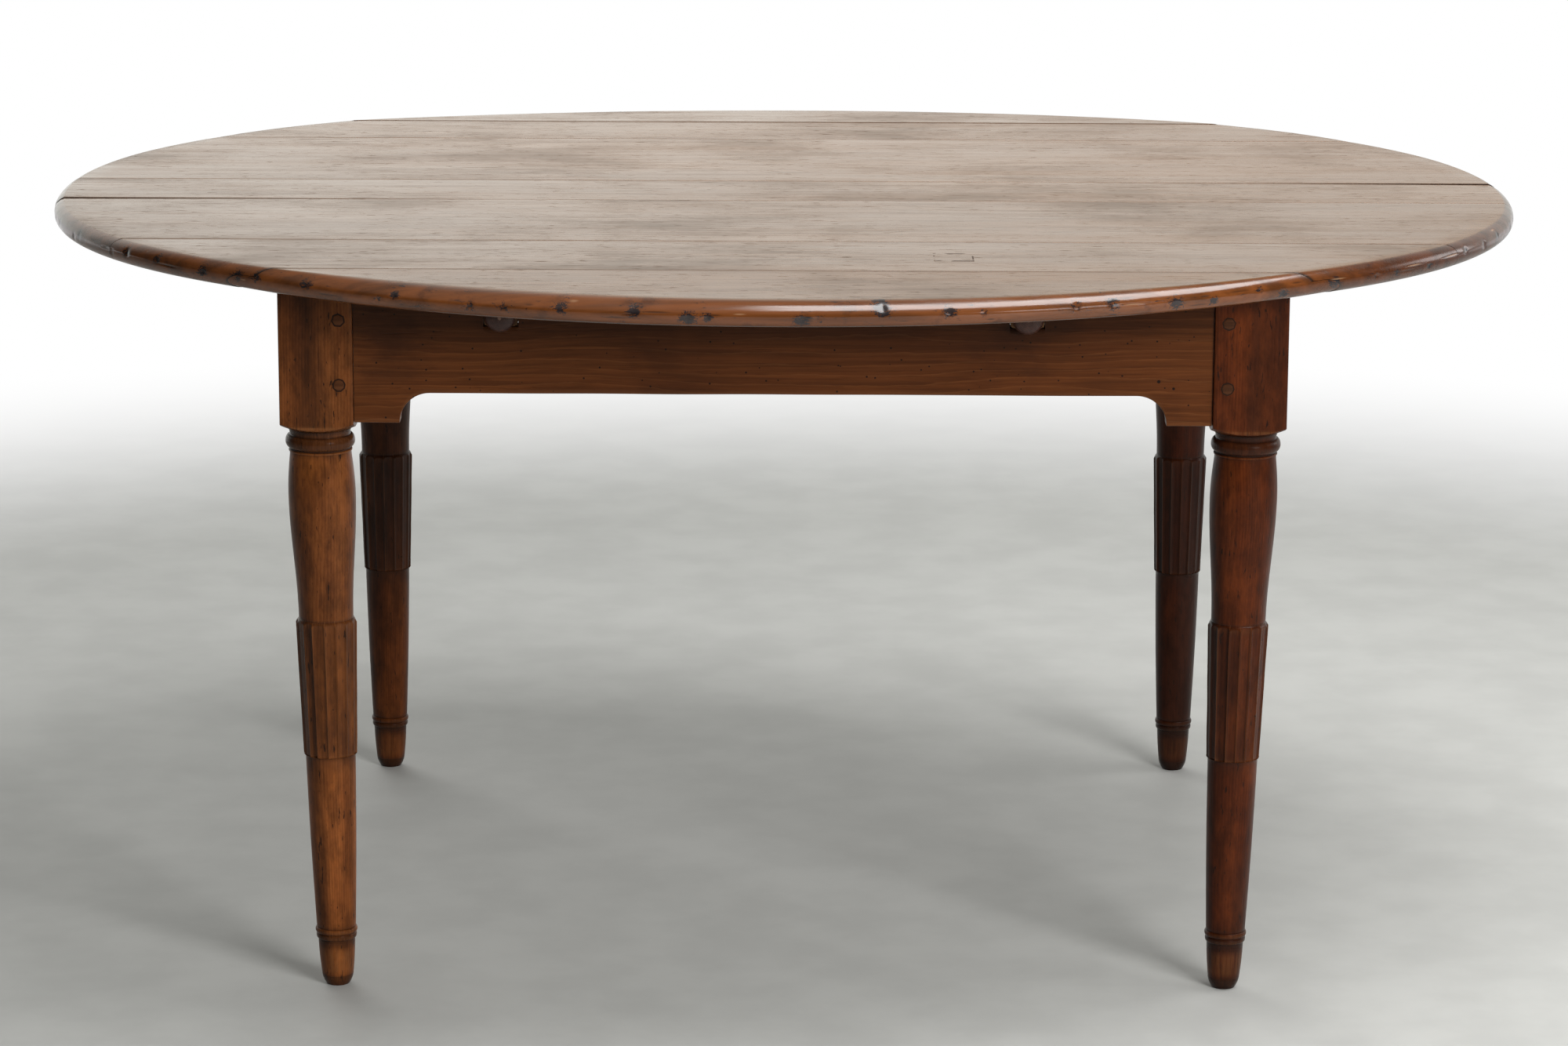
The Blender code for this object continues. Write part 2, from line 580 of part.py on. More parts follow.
def make_middle_rail(half):
    """Cross rail, housed in the end aprons, whose notches guide the inner ends of the slides."""
    outline = [(-half, 0)]
    for x in sorted((*FRONT_SLIDE_X.values(), *BACK_SLIDE_X.values())):
        left, right = x - NOTCH_WIDTH / 2, x + NOTCH_WIDTH / 2
        outline += [(left, 0), (left, -NOTCH_DEPTH), (right, -NOTCH_DEPTH), (right, 0)]
    outline += [(half, 0), (half, -RAIL_DEPTH), (-half, -RAIL_DEPTH)]
    rail = outline_mesh("middle_rail", outline, RAIL_THICKNESS, "Y")
    add_object("middle_rail", rail, SLIDE_WOOD, (0, 0, FRAME_TOP))


def knob_profile():
    """Turned knob on its spigot, from its crown down, as radius and height above the slide's end."""
    crown = arc_points((0, 0), 1, 90, 0)
    dome = 0.45 * KNOB_LENGTH
    head = [(KNOB_RADIUS * x, KNOB_LENGTH - dome + dome * y) for x, y in crown]
    head[0] = (0, KNOB_LENGTH)
    lower = [(KNOB_NECK_RADIUS, 0.30 * KNOB_LENGTH), (KNOB_NECK_RADIUS, 0.18 * KNOB_LENGTH)]
    base = [(KNOB_BASE_RADIUS, 0.10 * KNOB_LENGTH), (KNOB_BASE_RADIUS, GAP), (SPIGOT_RADIUS, GAP)]
    return [*head, *lower, *base, (SPIGOT_RADIUS, -SPIGOT_LENGTH), (0, -SPIGOT_LENGTH)]


def make_slide(end, side, x):
    """A bar with its knob and stop, on a pivot at its outer end whose local +Y points under the table."""
    sign = ENDS[end]
    place = f"{end}_{side}"
    pivot = add_pivot(f"slide_pivot_{place}", (x, sign * APRON_FACE_Y, SLIDE_AXIS_Z))
    pivot.rotation_euler.z = math.pi if sign > 0 else 0
    bar = box_mesh("slide", (SLIDE_WIDTH, SLIDE_LENGTH, SLIDE_HEIGHT), (0, SLIDE_LENGTH / 2, 0))
    slide = add_object(f"slide_{place}", bar, SLIDE_WOOD, parent=pivot)
    holes = bmesh.new()
    spigot_hole = SPIGOT_LENGTH + GAP + CUT_MARGIN
    spigot_middle = (0, (SPIGOT_LENGTH + GAP - CUT_MARGIN) / 2, -KNOB_DROP)
    put_rod(holes, SPIGOT_RADIUS + GAP, spigot_hole, spigot_middle, "Y", KNOB_STEPS)
    put_rod(holes, STOP_RADIUS + GAP, 2 * SLIDE_HEIGHT, (0, STOP_Y, 0), "Z")
    bores = add_cutter(f"slide_holes_{place}", mesh_from("holes", holes), parent=pivot)
    add_boolean(slide, "DIFFERENCE", bores)
    knob_at = (0, 0, -KNOB_DROP)
    knob = add_object(f"knob_{place}", turned_mesh("knob", knob_profile()), KNOB_WOOD, knob_at, pivot)
    knob.rotation_euler.x = math.pi / 2
    add_screw(knob, KNOB_STEPS)
    stop = rod_mesh("stop", STOP_RADIUS, SLIDE_HEIGHT + STOP_REACH, "Z")
    add_object(f"stop_peg_{place}", stop, PEG_WOOD, (0, STOP_Y, -STOP_REACH / 2), pivot)


def make_slides():
    for end, places in (("front", FRONT_SLIDE_X), ("back", BACK_SLIDE_X)):
        for side, x in places.items():
            make_slide(end, side, x)


def shade_round_pieces():
    for obj in PARTS.objects:
        if obj.type == "MESH":
            obj.data.shade_smooth()
            obj.data.set_sharp_from_angle(angle=math.radians(35))


make_top()
make_frame()
make_slides()
shade_round_pieces()
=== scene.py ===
# %% [markdown]
# # An oval farmhouse table with drop leaves
# The table has a fixed middle of five boards, a hinged leaf in front and behind, and four pull-out slides
# that carry the leaves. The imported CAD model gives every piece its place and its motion. This lesson puts
# finished surfaces over it: each piece is a formula on a grid, worked out as whole numpy arrays.

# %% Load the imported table
import math

import bmesh
import bpy
import numpy as np
from mathutils import Matrix, Vector


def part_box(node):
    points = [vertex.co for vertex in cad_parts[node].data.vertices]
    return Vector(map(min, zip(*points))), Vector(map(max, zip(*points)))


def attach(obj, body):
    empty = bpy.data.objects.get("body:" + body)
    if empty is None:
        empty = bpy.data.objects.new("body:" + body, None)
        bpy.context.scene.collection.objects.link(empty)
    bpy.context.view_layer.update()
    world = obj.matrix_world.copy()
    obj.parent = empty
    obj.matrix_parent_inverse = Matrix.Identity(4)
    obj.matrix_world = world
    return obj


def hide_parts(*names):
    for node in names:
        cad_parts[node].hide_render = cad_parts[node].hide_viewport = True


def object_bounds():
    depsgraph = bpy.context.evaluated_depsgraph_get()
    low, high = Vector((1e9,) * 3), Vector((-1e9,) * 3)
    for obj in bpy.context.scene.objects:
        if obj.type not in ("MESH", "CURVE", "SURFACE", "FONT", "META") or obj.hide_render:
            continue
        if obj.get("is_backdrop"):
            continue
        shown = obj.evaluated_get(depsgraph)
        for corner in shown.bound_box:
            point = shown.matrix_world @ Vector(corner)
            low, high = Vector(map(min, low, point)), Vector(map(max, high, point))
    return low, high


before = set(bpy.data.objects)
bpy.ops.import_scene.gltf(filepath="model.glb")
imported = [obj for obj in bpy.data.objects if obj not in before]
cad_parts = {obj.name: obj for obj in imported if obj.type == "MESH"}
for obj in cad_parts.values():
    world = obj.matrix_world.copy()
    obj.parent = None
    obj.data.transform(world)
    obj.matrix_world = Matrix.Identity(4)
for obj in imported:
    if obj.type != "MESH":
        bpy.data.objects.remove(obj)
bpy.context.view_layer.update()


def rounded(place):
    return [round(value, 4) for value in place]


# %% [markdown]
# ## From arrays to a mesh
# Every surface here is a grid of points. A grid could be made with Blender's own primitives and bent by
# modifiers, but then its points are hard to address. With arrays we know which row and column each point
# has, so faces, end caps and painted marks come from the same numbers.

# %% Turn a grid of points into a piece
SHARP_TURN = math.radians(38)
MERGE_DISTANCE = 0.000002


def grid_quads(rows, columns):
    """Corners of the faces of a grid whose last column meets its first: each point, the next one in its
    row, and the two above them."""
    row = np.arange(rows - 1)[:, None] * columns
    column = np.arange(columns)[None, :]
    beside = (column + 1) % columns
    corners = [row + column, row + beside, row + columns + beside, row + columns + column]
    return np.stack(corners, axis=-1).reshape(-1, 4)


def make_piece(name, points, faces, marks):
    """A mesh object from points and faces, with one painted number per point for each mark."""
    mesh = bpy.data.meshes.new(name)
    mesh.from_pydata(points.reshape(-1, 3).tolist(), [], faces)
    for label, values in marks.items():
        layer = mesh.attributes.new(label, "FLOAT", "POINT")
        spread_out = np.broadcast_to(values, points.shape[:-1])
        layer.data.foreach_set("value", np.ravel(spread_out).astype(np.float32))
    form = bmesh.new()
    form.from_mesh(mesh)
    bmesh.ops.remove_doubles(form, verts=form.verts, dist=MERGE_DISTANCE)
    bmesh.ops.recalc_face_normals(form, faces=form.faces)
    form.to_mesh(mesh)
    form.free()
    mesh.shade_smooth()
    mesh.set_sharp_from_angle(angle=SHARP_TURN)
    piece = bpy.data.objects.new(name, mesh)
    bpy.context.scene.collection.objects.link(piece)
    return piece


def loft(name, points, marks, capped=True):
    """A closed skin through rows of points, each row one loop round the piece, with flat end caps."""
    rows, columns = points.shape[:2]
    faces = grid_quads(rows, columns).tolist()
    if capped:
        faces.append(list(range(columns)))
        faces.append(list(range((rows - 1) * columns, rows * columns)))
    return make_piece(name, points, faces, marks)


def full_turn(count):
    """Evenly spaced angles of one whole turn."""
    return np.arange(count) / count * 2 * np.pi


def merged(*levels):
    """All the levels in order, each of them once."""
    return np.unique(np.round(np.concatenate(levels), 7))


def round_reach(radius, height):
    """How far a round edge stands out at a height above its centre: sqrt(r^2 - h^2), or 0 above it."""
    return np.sqrt(np.maximum(radius ** 2 - height ** 2, 0))


def stand_for(piece, body, slot, *nodes):
    """Lets a piece ride on its body and stand for its CAD nodes, which it hides; the slot is not used."""
    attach(piece, body)
    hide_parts(*nodes)


def tell(label, pieces):
    print(label, [(piece.name, len(piece.data.polygons)) for piece in pieces])


print("mesh helpers ready; edges sharper than", round(math.degrees(SHARP_TURN)), "degrees stay crisp")

# %% [markdown]
# ## Hand-made unevenness
# Hand-planed wood is never quite flat. Noise modifiers could roughen it, but they also move edges that must
# stay put. A few slow sine waves with random speeds give a calm, repeatable sway for any place.

# %% A calm, seeded waviness
def sway(values, seed, slow, fast):
    """Mean of five sines of the values, with random speeds between slow and fast and random starts."""
    luck = np.random.default_rng(seed)
    speeds = luck.uniform(slow, fast, 5)
    starts = luck.uniform(0, 2 * np.pi, 5)
    return np.sin(np.asarray(values)[..., None] * speeds + starts).mean(axis=-1)


print("sway of one metre of edge:", np.round(sway(np.linspace(0, 1, 5), 3, 4, 20), 2))

# %% [markdown]
# ## The oval
# The top is a slightly squared oval, drawn in at the rounded rim. A scaled circle would be too pointed, so we
# use a superellipse: its exponent of a little over two fills the shoulders of the oval.

# %% Outline of the top and roundness of its rim
TOP_HALF_X = 0.7674
TOP_HALF_Y = 0.6096
SQUARENESS = 2.10
THICKNESS = 0.024
UNDERSIDE = 0.726
RIM = 0.010
ROLL_DROP = 0.0125
ROLL_DEPTH = 0.0133
END_ROLL = 0.016
LEAF_ROLL = 0.033
ROLL_SLOPE = 0.013


def half_length(y, inset):
    """Half length of the oval at y: a (1 - |y / b|^n)^(1 / n), with a and b drawn in by the inset."""
    share = np.minimum(np.abs(y) / (TOP_HALF_Y - inset), 1)
    return (TOP_HALF_X - inset) * (1 - share ** SQUARENESS) ** (1 / SQUARENESS)


def half_depth(x, inset):
    """Half depth of the oval at x: the same formula with a and b changed over."""
    share = np.minimum(np.abs(x) / (TOP_HALF_X - inset), 1)
    return (TOP_HALF_Y - inset) * (1 - share ** SQUARENESS) ** (1 / SQUARENESS)


def rim_inset(height, roll=END_ROLL):
    """How far the rim draws in: R - sqrt(R^2 - e^2) below, e being how far a height is past the flat band,
    and above it an oval arc A (1 - sqrt(1 - (e / B)^2)) that goes further in than it rises."""
    low = np.maximum(RIM - height, 0)
    high = np.minimum(np.maximum(height - (THICKNESS - ROLL_DROP), 0) / ROLL_DEPTH, 1)
    return RIM - np.sqrt(RIM ** 2 - low ** 2) + roll * (1 - np.sqrt(1 - high ** 2))


quarter = np.radians(np.linspace(0, 90, 9))
upper_turn = np.linspace(0, math.asin(ROLL_DROP / ROLL_DEPTH), 14)
upper_levels = THICKNESS - ROLL_DROP + ROLL_DEPTH * np.sin(upper_turn)
rim_levels = merged(upper_levels, RIM - RIM * np.sin(quarter))
print("oval", 2 * TOP_HALF_X, "by", 2 * TOP_HALF_Y, "m, rim drawn in", len(rim_levels), "levels")

# %% [markdown]
# ## Tack holes and knocks in the rim
# Tacks once held a cloth round the rim. Their iron has stained the wood blue-black, and each one left a small
# pit. We could only paint them, but pits catch the light, so each mark is a dent in the mesh and a painted
# value for the stain. Marks are placed by arc length, so they keep their spacing round the whole oval.

# %% Place the marks round the rim and measure them at any point
def signed_power(value, power):
    """A power that keeps the sign: sign(v) |v|^p."""
    return np.sign(value) * np.abs(value) ** power


turns = np.linspace(0, 2 * np.pi, 4001)
outline_x = TOP_HALF_X * signed_power(np.cos(turns), 2 / SQUARENESS)
outline_y = TOP_HALF_Y * signed_power(np.sin(turns), 2 / SQUARENESS)
steps = np.hypot(np.diff(outline_x), np.diff(outline_y))
outline_run = np.concatenate([[0], np.cumsum(steps)])
RIM_RUN = outline_run[-1]

luck = np.random.default_rng(41)
tack_count = 84
tack_run = (np.arange(tack_count) + luck.uniform(-0.42, 0.42, tack_count)) * RIM_RUN / tack_count
tack_height = luck.uniform(0.0075, 0.0165, tack_count)
tack_size = luck.uniform(0.0020, 0.0042, tack_count)
tack_depth = luck.uniform(0.0003, 0.0012, tack_count)
tack_strength = luck.uniform(0.45, 1.0, tack_count)
knock_count = 120
knock_run = luck.uniform(0, RIM_RUN, knock_count)
knock_height = luck.uniform(0.004, 0.021, knock_count)
knock_half_length = luck.uniform(0.12, 1.0, knock_count) ** 2 * 0.016
knock_depth = luck.uniform(0.0002, 0.0007, knock_count)
knock_tone = luck.choice([1.0, 1.0, -1.0], knock_count)
FRONT_MIDDLE = 0.75 * RIM_RUN
GOUGE_RUN = FRONT_MIDDLE + 0.094
STAIN_SPREAD = 1.35
STAIN_SIZE = 2.2
KNOCK_HALF_HEIGHT = 0.0009
gouge = np.argmin(np.abs(tack_run - GOUGE_RUN))
tack_run[gouge] = GOUGE_RUN
tack_height[gouge], tack_size[gouge], tack_depth[gouge], tack_strength[gouge] = 0.0185, 0.0040, 0.0022, 1.0


def along_rim(run, mark_run):
    """The shorter way round the rim from a mark to a point."""
    return (run - mark_run + RIM_RUN / 2) % RIM_RUN - RIM_RUN / 2


def rim_marks(x, y, height):
    """Dent depth, iron stain and knock at points of the rim. Each mark fades as exp(-d^2), d being the
    distance along the rim and up it, in mark sizes."""
    rise = signed_power(y / TOP_HALF_Y, SQUARENESS / 2)
    angle = np.arctan2(rise, signed_power(x / TOP_HALF_X, SQUARENESS / 2))
    run = np.interp(angle % (2 * np.pi), turns, outline_run)[..., None]
    off = along_rim(run, tack_run)
    up = height[..., None] - tack_height
    tack = np.exp(-(off ** 2 + up ** 2) / tack_size ** 2)
    spread = (off / STAIN_SPREAD) ** 2 + up ** 2
    stain = tack_strength * np.exp(-spread / (STAIN_SIZE * tack_size) ** 2)
    knock_up = (height[..., None] - knock_height) / KNOCK_HALF_HEIGHT
    knock = np.exp(-(along_rim(run, knock_run) / knock_half_length) ** 2 - knock_up ** 2)
    dent = (tack * tack_depth).max(axis=-1) + (knock * knock_depth).max(axis=-1)
    return dent, stain.max(axis=-1), (knock * knock_tone).sum(axis=-1)


def pushed_in(x, y, depth):
    """Points of the rim moved inwards along the oval's normal, the slope of |x/a|^n + |y/b|^n."""
    across = signed_power(x / TOP_HALF_X, SQUARENESS - 1) / TOP_HALF_X
    along = signed_power(y / TOP_HALF_Y, SQUARENESS - 1) / TOP_HALF_Y
    length = np.hypot(across, along)
    return x - depth * across / length, y - depth * along / length


print("rim runs", round(RIM_RUN, 3), "m with", tack_count, "tacks and", knock_count, "knocks")

# %% [markdown]
# ## The fixed boards
# Five old boards of different widths lie side by side. Extruding an outline would give flat slabs with one
# straight gap. Instead each board is a loop round its cross section, carried from its near edge to its far
# edge. The loop's two ends follow the oval, the seams open a little towards the rim where the wood has
# shrunk, and each board is slightly cupped, which breaks up reflections as on the real top.

# %% One loop round a board
TOP_POINTS = 61
UNDER_POINTS = 31
ROW_STEP = 0.0017
ARRIS = 0.0005
SEAM_GAP = 0.0003
SEAM_REACH = 0.0013
CUP = 0.0009
WARP_WIDTH = 0.035
RIM_FADE = 0.0008
UNDER_FADE = 0.003


def board_columns(levels):
    """Share of the half length and height of each point of a loop: along the top to the right, down the
    right rim, back along the underside, up the left rim."""
    inner = levels[1:-1]
    ones = np.ones(len(inner))
    share = [np.linspace(-1, 1, TOP_POINTS), ones, np.linspace(1, -1, UNDER_POINTS), -ones]
    height = [np.full(TOP_POINTS, THICKNESS), inner[::-1], np.zeros(UNDER_POINTS), inner]
    return np.concatenate(share), np.concatenate(height)


def end_caps(levels, row_start):
    """Faces that close one end of a board, as a ladder of rungs between its left and right rims."""
    inner = len(levels) - 2
    right = TOP_POINTS + np.arange(inner)
    under = TOP_POINTS + inner + np.arange(UNDER_POINTS)
    left = (TOP_POINTS + inner + UNDER_POINTS + np.arange(inner))[::-1]
    rungs = np.stack([right[:-1], right[1:], left[1:], left[:-1]], axis=-1) + row_start
    first = np.concatenate([np.arange(TOP_POINTS), [right[0], left[0]]]) + row_start
    last = np.concatenate([[right[-1]], under, [left[-1]]]) + row_start
    return [first.tolist(), last.tolist(), *rungs.tolist()]


def top_marks(seam, on_rim, stain, knock, height, shift):
    """The painted marks that boards and leaves share: the rim's colour starts just below the flat top."""
    return {
        "seam": seam,
        "iron": stain * on_rim,
        "knock": knock * on_rim,
        "rim": np.clip((THICKNESS - height) / RIM_FADE, 0, 1),
        "under": np.clip((UNDER_FADE - height) / UNDER_FADE, 0, 1),
        "shift": shift,
    }


def make_board(number, near, far, levels, opening, sunk):
    """A board whose points run evenly from its near edge to its far edge, both given for every column. The
    opening tells how dark its two seams are at each column, sunk how low its far edge has warped there."""
    share, height = board_columns(levels)
    width = np.abs(far - near).max()
    even = np.linspace(0, 1, round(width / ROW_STEP))
    corner = ARRIS / width * np.array([0.15, 0.45, 1.0])
    part = np.unique(np.concatenate([even, corner, 1 - corner]))[:, None]
    y = near + part * (far - near)
    x = share * half_length(y, rim_inset(height))
    dent, stain, knock = rim_marks(x, y, np.broadcast_to(height, y.shape))
    on_rim = np.abs(share) > 0.9999
    x, y = pushed_in(x, y, dent * on_rim)
    edge = np.minimum(part, 1 - part) * width
    drop = ARRIS - np.sqrt(ARRIS ** 2 - np.maximum(ARRIS - edge, 0) ** 2)
    uneven = sway(x, number, 3, 14) + sway(y, number + 9, 20, 60)
    cup = 0.45 * (2 * part - 1) ** 2 + 0.25 + 0.15 * uneven
    upper = np.clip((height - 0.014) / 0.010, 0, 1)
    warped = sunk * np.clip(1 - (1 - part) * width / WARP_WIDTH, 0, 1) ** 2
    z = UNDERSIDE + np.clip(height, drop, THICKNESS - drop) - (CUP * cup + warped) * upper
    rows, columns = x.shape
    faces = grid_quads(rows, columns).tolist() + end_caps(levels, 0) + end_caps(levels, (rows - 1) * columns)
    seam = np.exp(-edge / SEAM_REACH) * np.where(part < 0.5, *opening)
    marks = top_marks(seam, on_rim, stain, knock, height, number * 0.37)
    return make_piece(f"oval_board_{number}", np.stack([x, y, z], axis=-1), faces, marks)


print("a board's loop has", len(board_columns(rim_levels)[0]), "points")

# %% [markdown]
# The two outer boards end in a lip over a cove, and the leaf's round tongue turns inside that cove. This is
# the rule joint: it hides the hinge and leaves no gap when the leaf hangs. The lip and cove are just another
# far edge, given as a reach for every height.

# %% Make the five boards
SEAMS = (-0.3065, -0.065, 0.059, 0.342)
PIN_Y = 0.45825
LIP_REACH = 0.008
COVE = 0.015
JUST_ABOVE = 0.000001
CRACK_START = 0.35


def seam_edge(y, toward, share, left_crack, right_crack):
    """A straight seam that opens by a crack towards either end: from a share s0 of the half length on, by the
    crack times ((s - s0) / (1 - s0))^1.4."""
    left = np.clip((-share - CRACK_START) / (1 - CRACK_START), 0, 1) ** 1.4
    right = np.clip((share - CRACK_START) / (1 - CRACK_START), 0, 1) ** 1.4
    return y + toward * (SEAM_GAP / 2 + left_crack * left + right_crack * right)


def seam_darkness(share, left_crack, right_crack):
    """How dark a seam looks: faint all along, black where a crack of a millimetre has opened."""
    return 0.15 + 900 * np.abs(seam_edge(0, 1, share, left_crack, right_crack) - SEAM_GAP / 2)


def lip_edge(side, height):
    """The rule joint's fixed half: a flat lip above a round cove centred on the pin."""
    return side * (PIN_Y + np.where(height > COVE, LIP_REACH, -round_reach(COVE, height)))


cove_levels = COVE * np.sin(np.radians(np.linspace(0, 90, 11)))
joint_levels = merged(rim_levels, cove_levels, [COVE + JUST_ABOVE])
cracks = ((0.0001, 0.0002), (0.0011, 0.0001), (0.0001, 0.0012), (0.0002, 0.0001))
top_pieces = []
for number in range(1, 6):
    levels = joint_levels if number in (1, 5) else rim_levels
    share, height = board_columns(levels)
    near, far = lip_edge(-1, height), lip_edge(1, height)
    joint_dark = 0.5 + 1.9 * np.clip((np.abs(share) - 0.985) / 0.012, 0, 1)
    near_dark, far_dark, sunk = joint_dark, joint_dark, 0 * share
    if number > 1:
        near = seam_edge(SEAMS[number - 2], 1, share, *cracks[number - 2])
        near_dark = seam_darkness(share, *cracks[number - 2])
    if number < 5:
        far = seam_edge(SEAMS[number - 1], -1, share, *cracks[number - 1])
        far_dark = seam_darkness(share, *cracks[number - 1])
        sunk = 0.75 * (seam_edge(0, 1, share, *cracks[number - 1]) - SEAM_GAP / 2)
    board = make_board(number, near, far, levels, (near_dark, far_dark), sunk)
    stand_for(board, "frame", "top_wood", f"top_board_{number}")
    top_pieces.append(board)
tell("boards and their faces:", top_pieces)

# %% [markdown]
# ## The drop leaves
# A leaf is a slice of the same oval with a rounded tongue on its inner edge. Cutting it with a Boolean would
# leave ragged triangles along the rim. Here one loop goes up the outer rim, in over the top, down the
# tongue and back below, and is carried along the length. Where the tongue outruns the top surface at both
# ends, the upper points wait at the corner while the lower ones go on.

# %% Make the two leaves
LEAF_DROOP = math.radians(2.5)
TONGUE = 0.0147
SHOULDER_REACH = 0.0083
LEAF_COLUMNS = 681
CORNER_SHARE = 0.972
KNUCKLE_ROOM = 0.0045
HINGE_X = 0.350
HINGE_HALF = 0.0305
JOINT_REACH = 0.0016
CRACK_REACH = 0.0012

tongue_levels = TONGUE * np.sin(np.radians(np.linspace(0, 90, 11)))
leaf_levels = merged(rim_levels, tongue_levels, [TONGUE + JUST_ABOVE])
knuckle_reach = np.array([0.0018, 0.0034, KNUCKLE_ROOM])
under_reach = merged([-0.0100, 0], -knuckle_reach, knuckle_reach, [0.012, 0.03, 0.06, 0.10])


def leaf_lengths(part):
    """Distance from the middle for each part of the length and each height. Heights on the shoulder stop
    at their corner; those on the tongue go on to where the tongue meets the oval."""
    shoulder = leaf_levels > TONGUE
    inner = np.where(shoulder, SHOULDER_REACH, -round_reach(TONGUE, leaf_levels))
    end = half_length(PIN_Y + inner, rim_inset(leaf_levels))
    corner = end[shoulder].max()
    size = np.abs(part)[:, None]
    upper = end * np.minimum(size / CORNER_SHARE, 1)
    beyond = np.clip((size - CORNER_SHARE) / (1 - CORNER_SHARE), 0, 1)
    lower = corner * np.minimum(size / CORNER_SHARE, 1) + (end - corner) * beyond
    return np.sign(part)[:, None] * np.where(shoulder, upper, lower), inner


def leaf_surface(seed):
    """Length, reach from the pin and height of every point of a leaf lying level, and which points are on its
    rim. The rim's roll grows softer from each corner inwards, and to the left."""
    part = np.linspace(-1, 1, LEAF_COLUMNS)
    x, inner = leaf_lengths(part)
    worn_roll = LEAF_ROLL - END_ROLL - ROLL_SLOPE * part[:, None]
    to_corner = np.minimum(np.abs(part) / CORNER_SHARE, 1)[:, None]
    roll = END_ROLL + worn_roll * (1 - to_corner ** 4)
    outer_y = half_depth(x, rim_inset(leaf_levels, roll))
    share = np.linspace(0, 1, 26)[1:-1]
    top_reach = outer_y[:, -1:] + share * (PIN_Y + inner[-1] - outer_y[:, -1:]) - PIN_Y
    below = np.minimum(under_reach, outer_y[:, :1] - PIN_Y)
    groove = round_reach(KNUCKLE_ROOM, below) * (np.abs(np.abs(x[:, :1]) - HINGE_X) < HINGE_HALF)
    length = [x, np.repeat(x[:, -1:], len(share), 1), x[:, ::-1], np.repeat(x[:, :1], len(under_reach), 1)]
    reach = [outer_y - PIN_Y, top_reach, np.broadcast_to(inner[::-1], x.shape), below]
    flat = np.full_like(top_reach, THICKNESS)
    rising = np.broadcast_to(leaf_levels, x.shape)
    height = [rising, flat, rising[:, ::-1], groove]
    on_rim = np.zeros(sum(array.shape[1] for array in length))
    on_rim[:len(leaf_levels)] = 1
    cup = 0.5 + 0.3 * sway(length[1], seed, 3, 14) + 0.2 * sway(top_reach, seed + 5, 20, 50)
    height[1] = flat - 0.5 * CUP * cup * np.sin(np.pi * share)
    return np.concatenate(length, 1), np.concatenate(reach, 1), np.concatenate(height, 1), on_rim


def make_leaf(end, side, seed):
    """A leaf turned down about its pin by its droop: out' = out cos + up sin, up' = up cos - out sin. No dent
    comes near its corners, where it would push the rim into the fixed board."""
    x, reach, height, on_rim = leaf_surface(seed)
    dent, stain, knock = rim_marks(x, side * (reach + PIN_Y), height)
    from_corner = 1 - np.abs(x) / np.abs(x).max()
    clear = np.clip((from_corner - 0.05) / 0.03, 0, 1)
    pressed_x, pressed_y = pushed_in(x, side * (reach + PIN_Y), dent * on_rim * clear)
    pressed_x[[0, -1]] = x[[0, -1]]
    out = side * pressed_y - PIN_Y
    y = side * (PIN_Y + out * math.cos(LEAF_DROOP) + height * math.sin(LEAF_DROOP))
    z = UNDERSIDE + height * math.cos(LEAF_DROOP) - out * math.sin(LEAF_DROOP)
    inner_edge = np.abs(reach - SHOULDER_REACH) + 0.02 * (height < COVE)
    at_end = np.clip((0.03 - from_corner) / 0.01, 0, 1)
    tongue_top = at_end * np.exp(-np.abs(height - TONGUE) / CRACK_REACH) * (reach < SHOULDER_REACH)
    seam = np.maximum((0.5 + 1.3 * at_end) * np.exp(-inner_edge / JOINT_REACH), tongue_top)
    marks = top_marks(seam, on_rim, stain, knock, height, seed * 0.53)
    marks["rim"] = marks["rim"] * np.maximum(on_rim, height < 0.020)
    leaf = loft(f"oval_leaf_{end}", np.stack([pressed_x, y, z], axis=-1), marks, capped=False)
    stand_for(leaf, f"{end}_leaf_body", "top_wood", f"{end}_leaf")
    return leaf


top_pieces += [make_leaf("front", -1, 11), make_leaf("back", 1, 12)]
tell("leaves and their faces:", top_pieces[-2:])

# %% [markdown]
# ## The turned legs
# Each leg starts as a square block, is turned below it into rings and a vase, is fluted by hand at the collar
# and ends in two thin beads and a small foot. Spinning a profile gives round wood only. Here the radius is a
# function of angle and height: the smallest of the square, the turned profile and the fluted surface, so
# the curved shoulder under the block and the scalloped edge of the collar appear by themselves.

# %% The turned profile
LEG_X = 0.459
LEG_Y = 0.399
BLOCK_HALF = 0.03675
BLOCK_TOP = 0.7257
BLOCK_BOTTOM = 0.580
COLLAR = {"front": (0.3775, 0.2430), "back": (0.3700, 0.2390)}


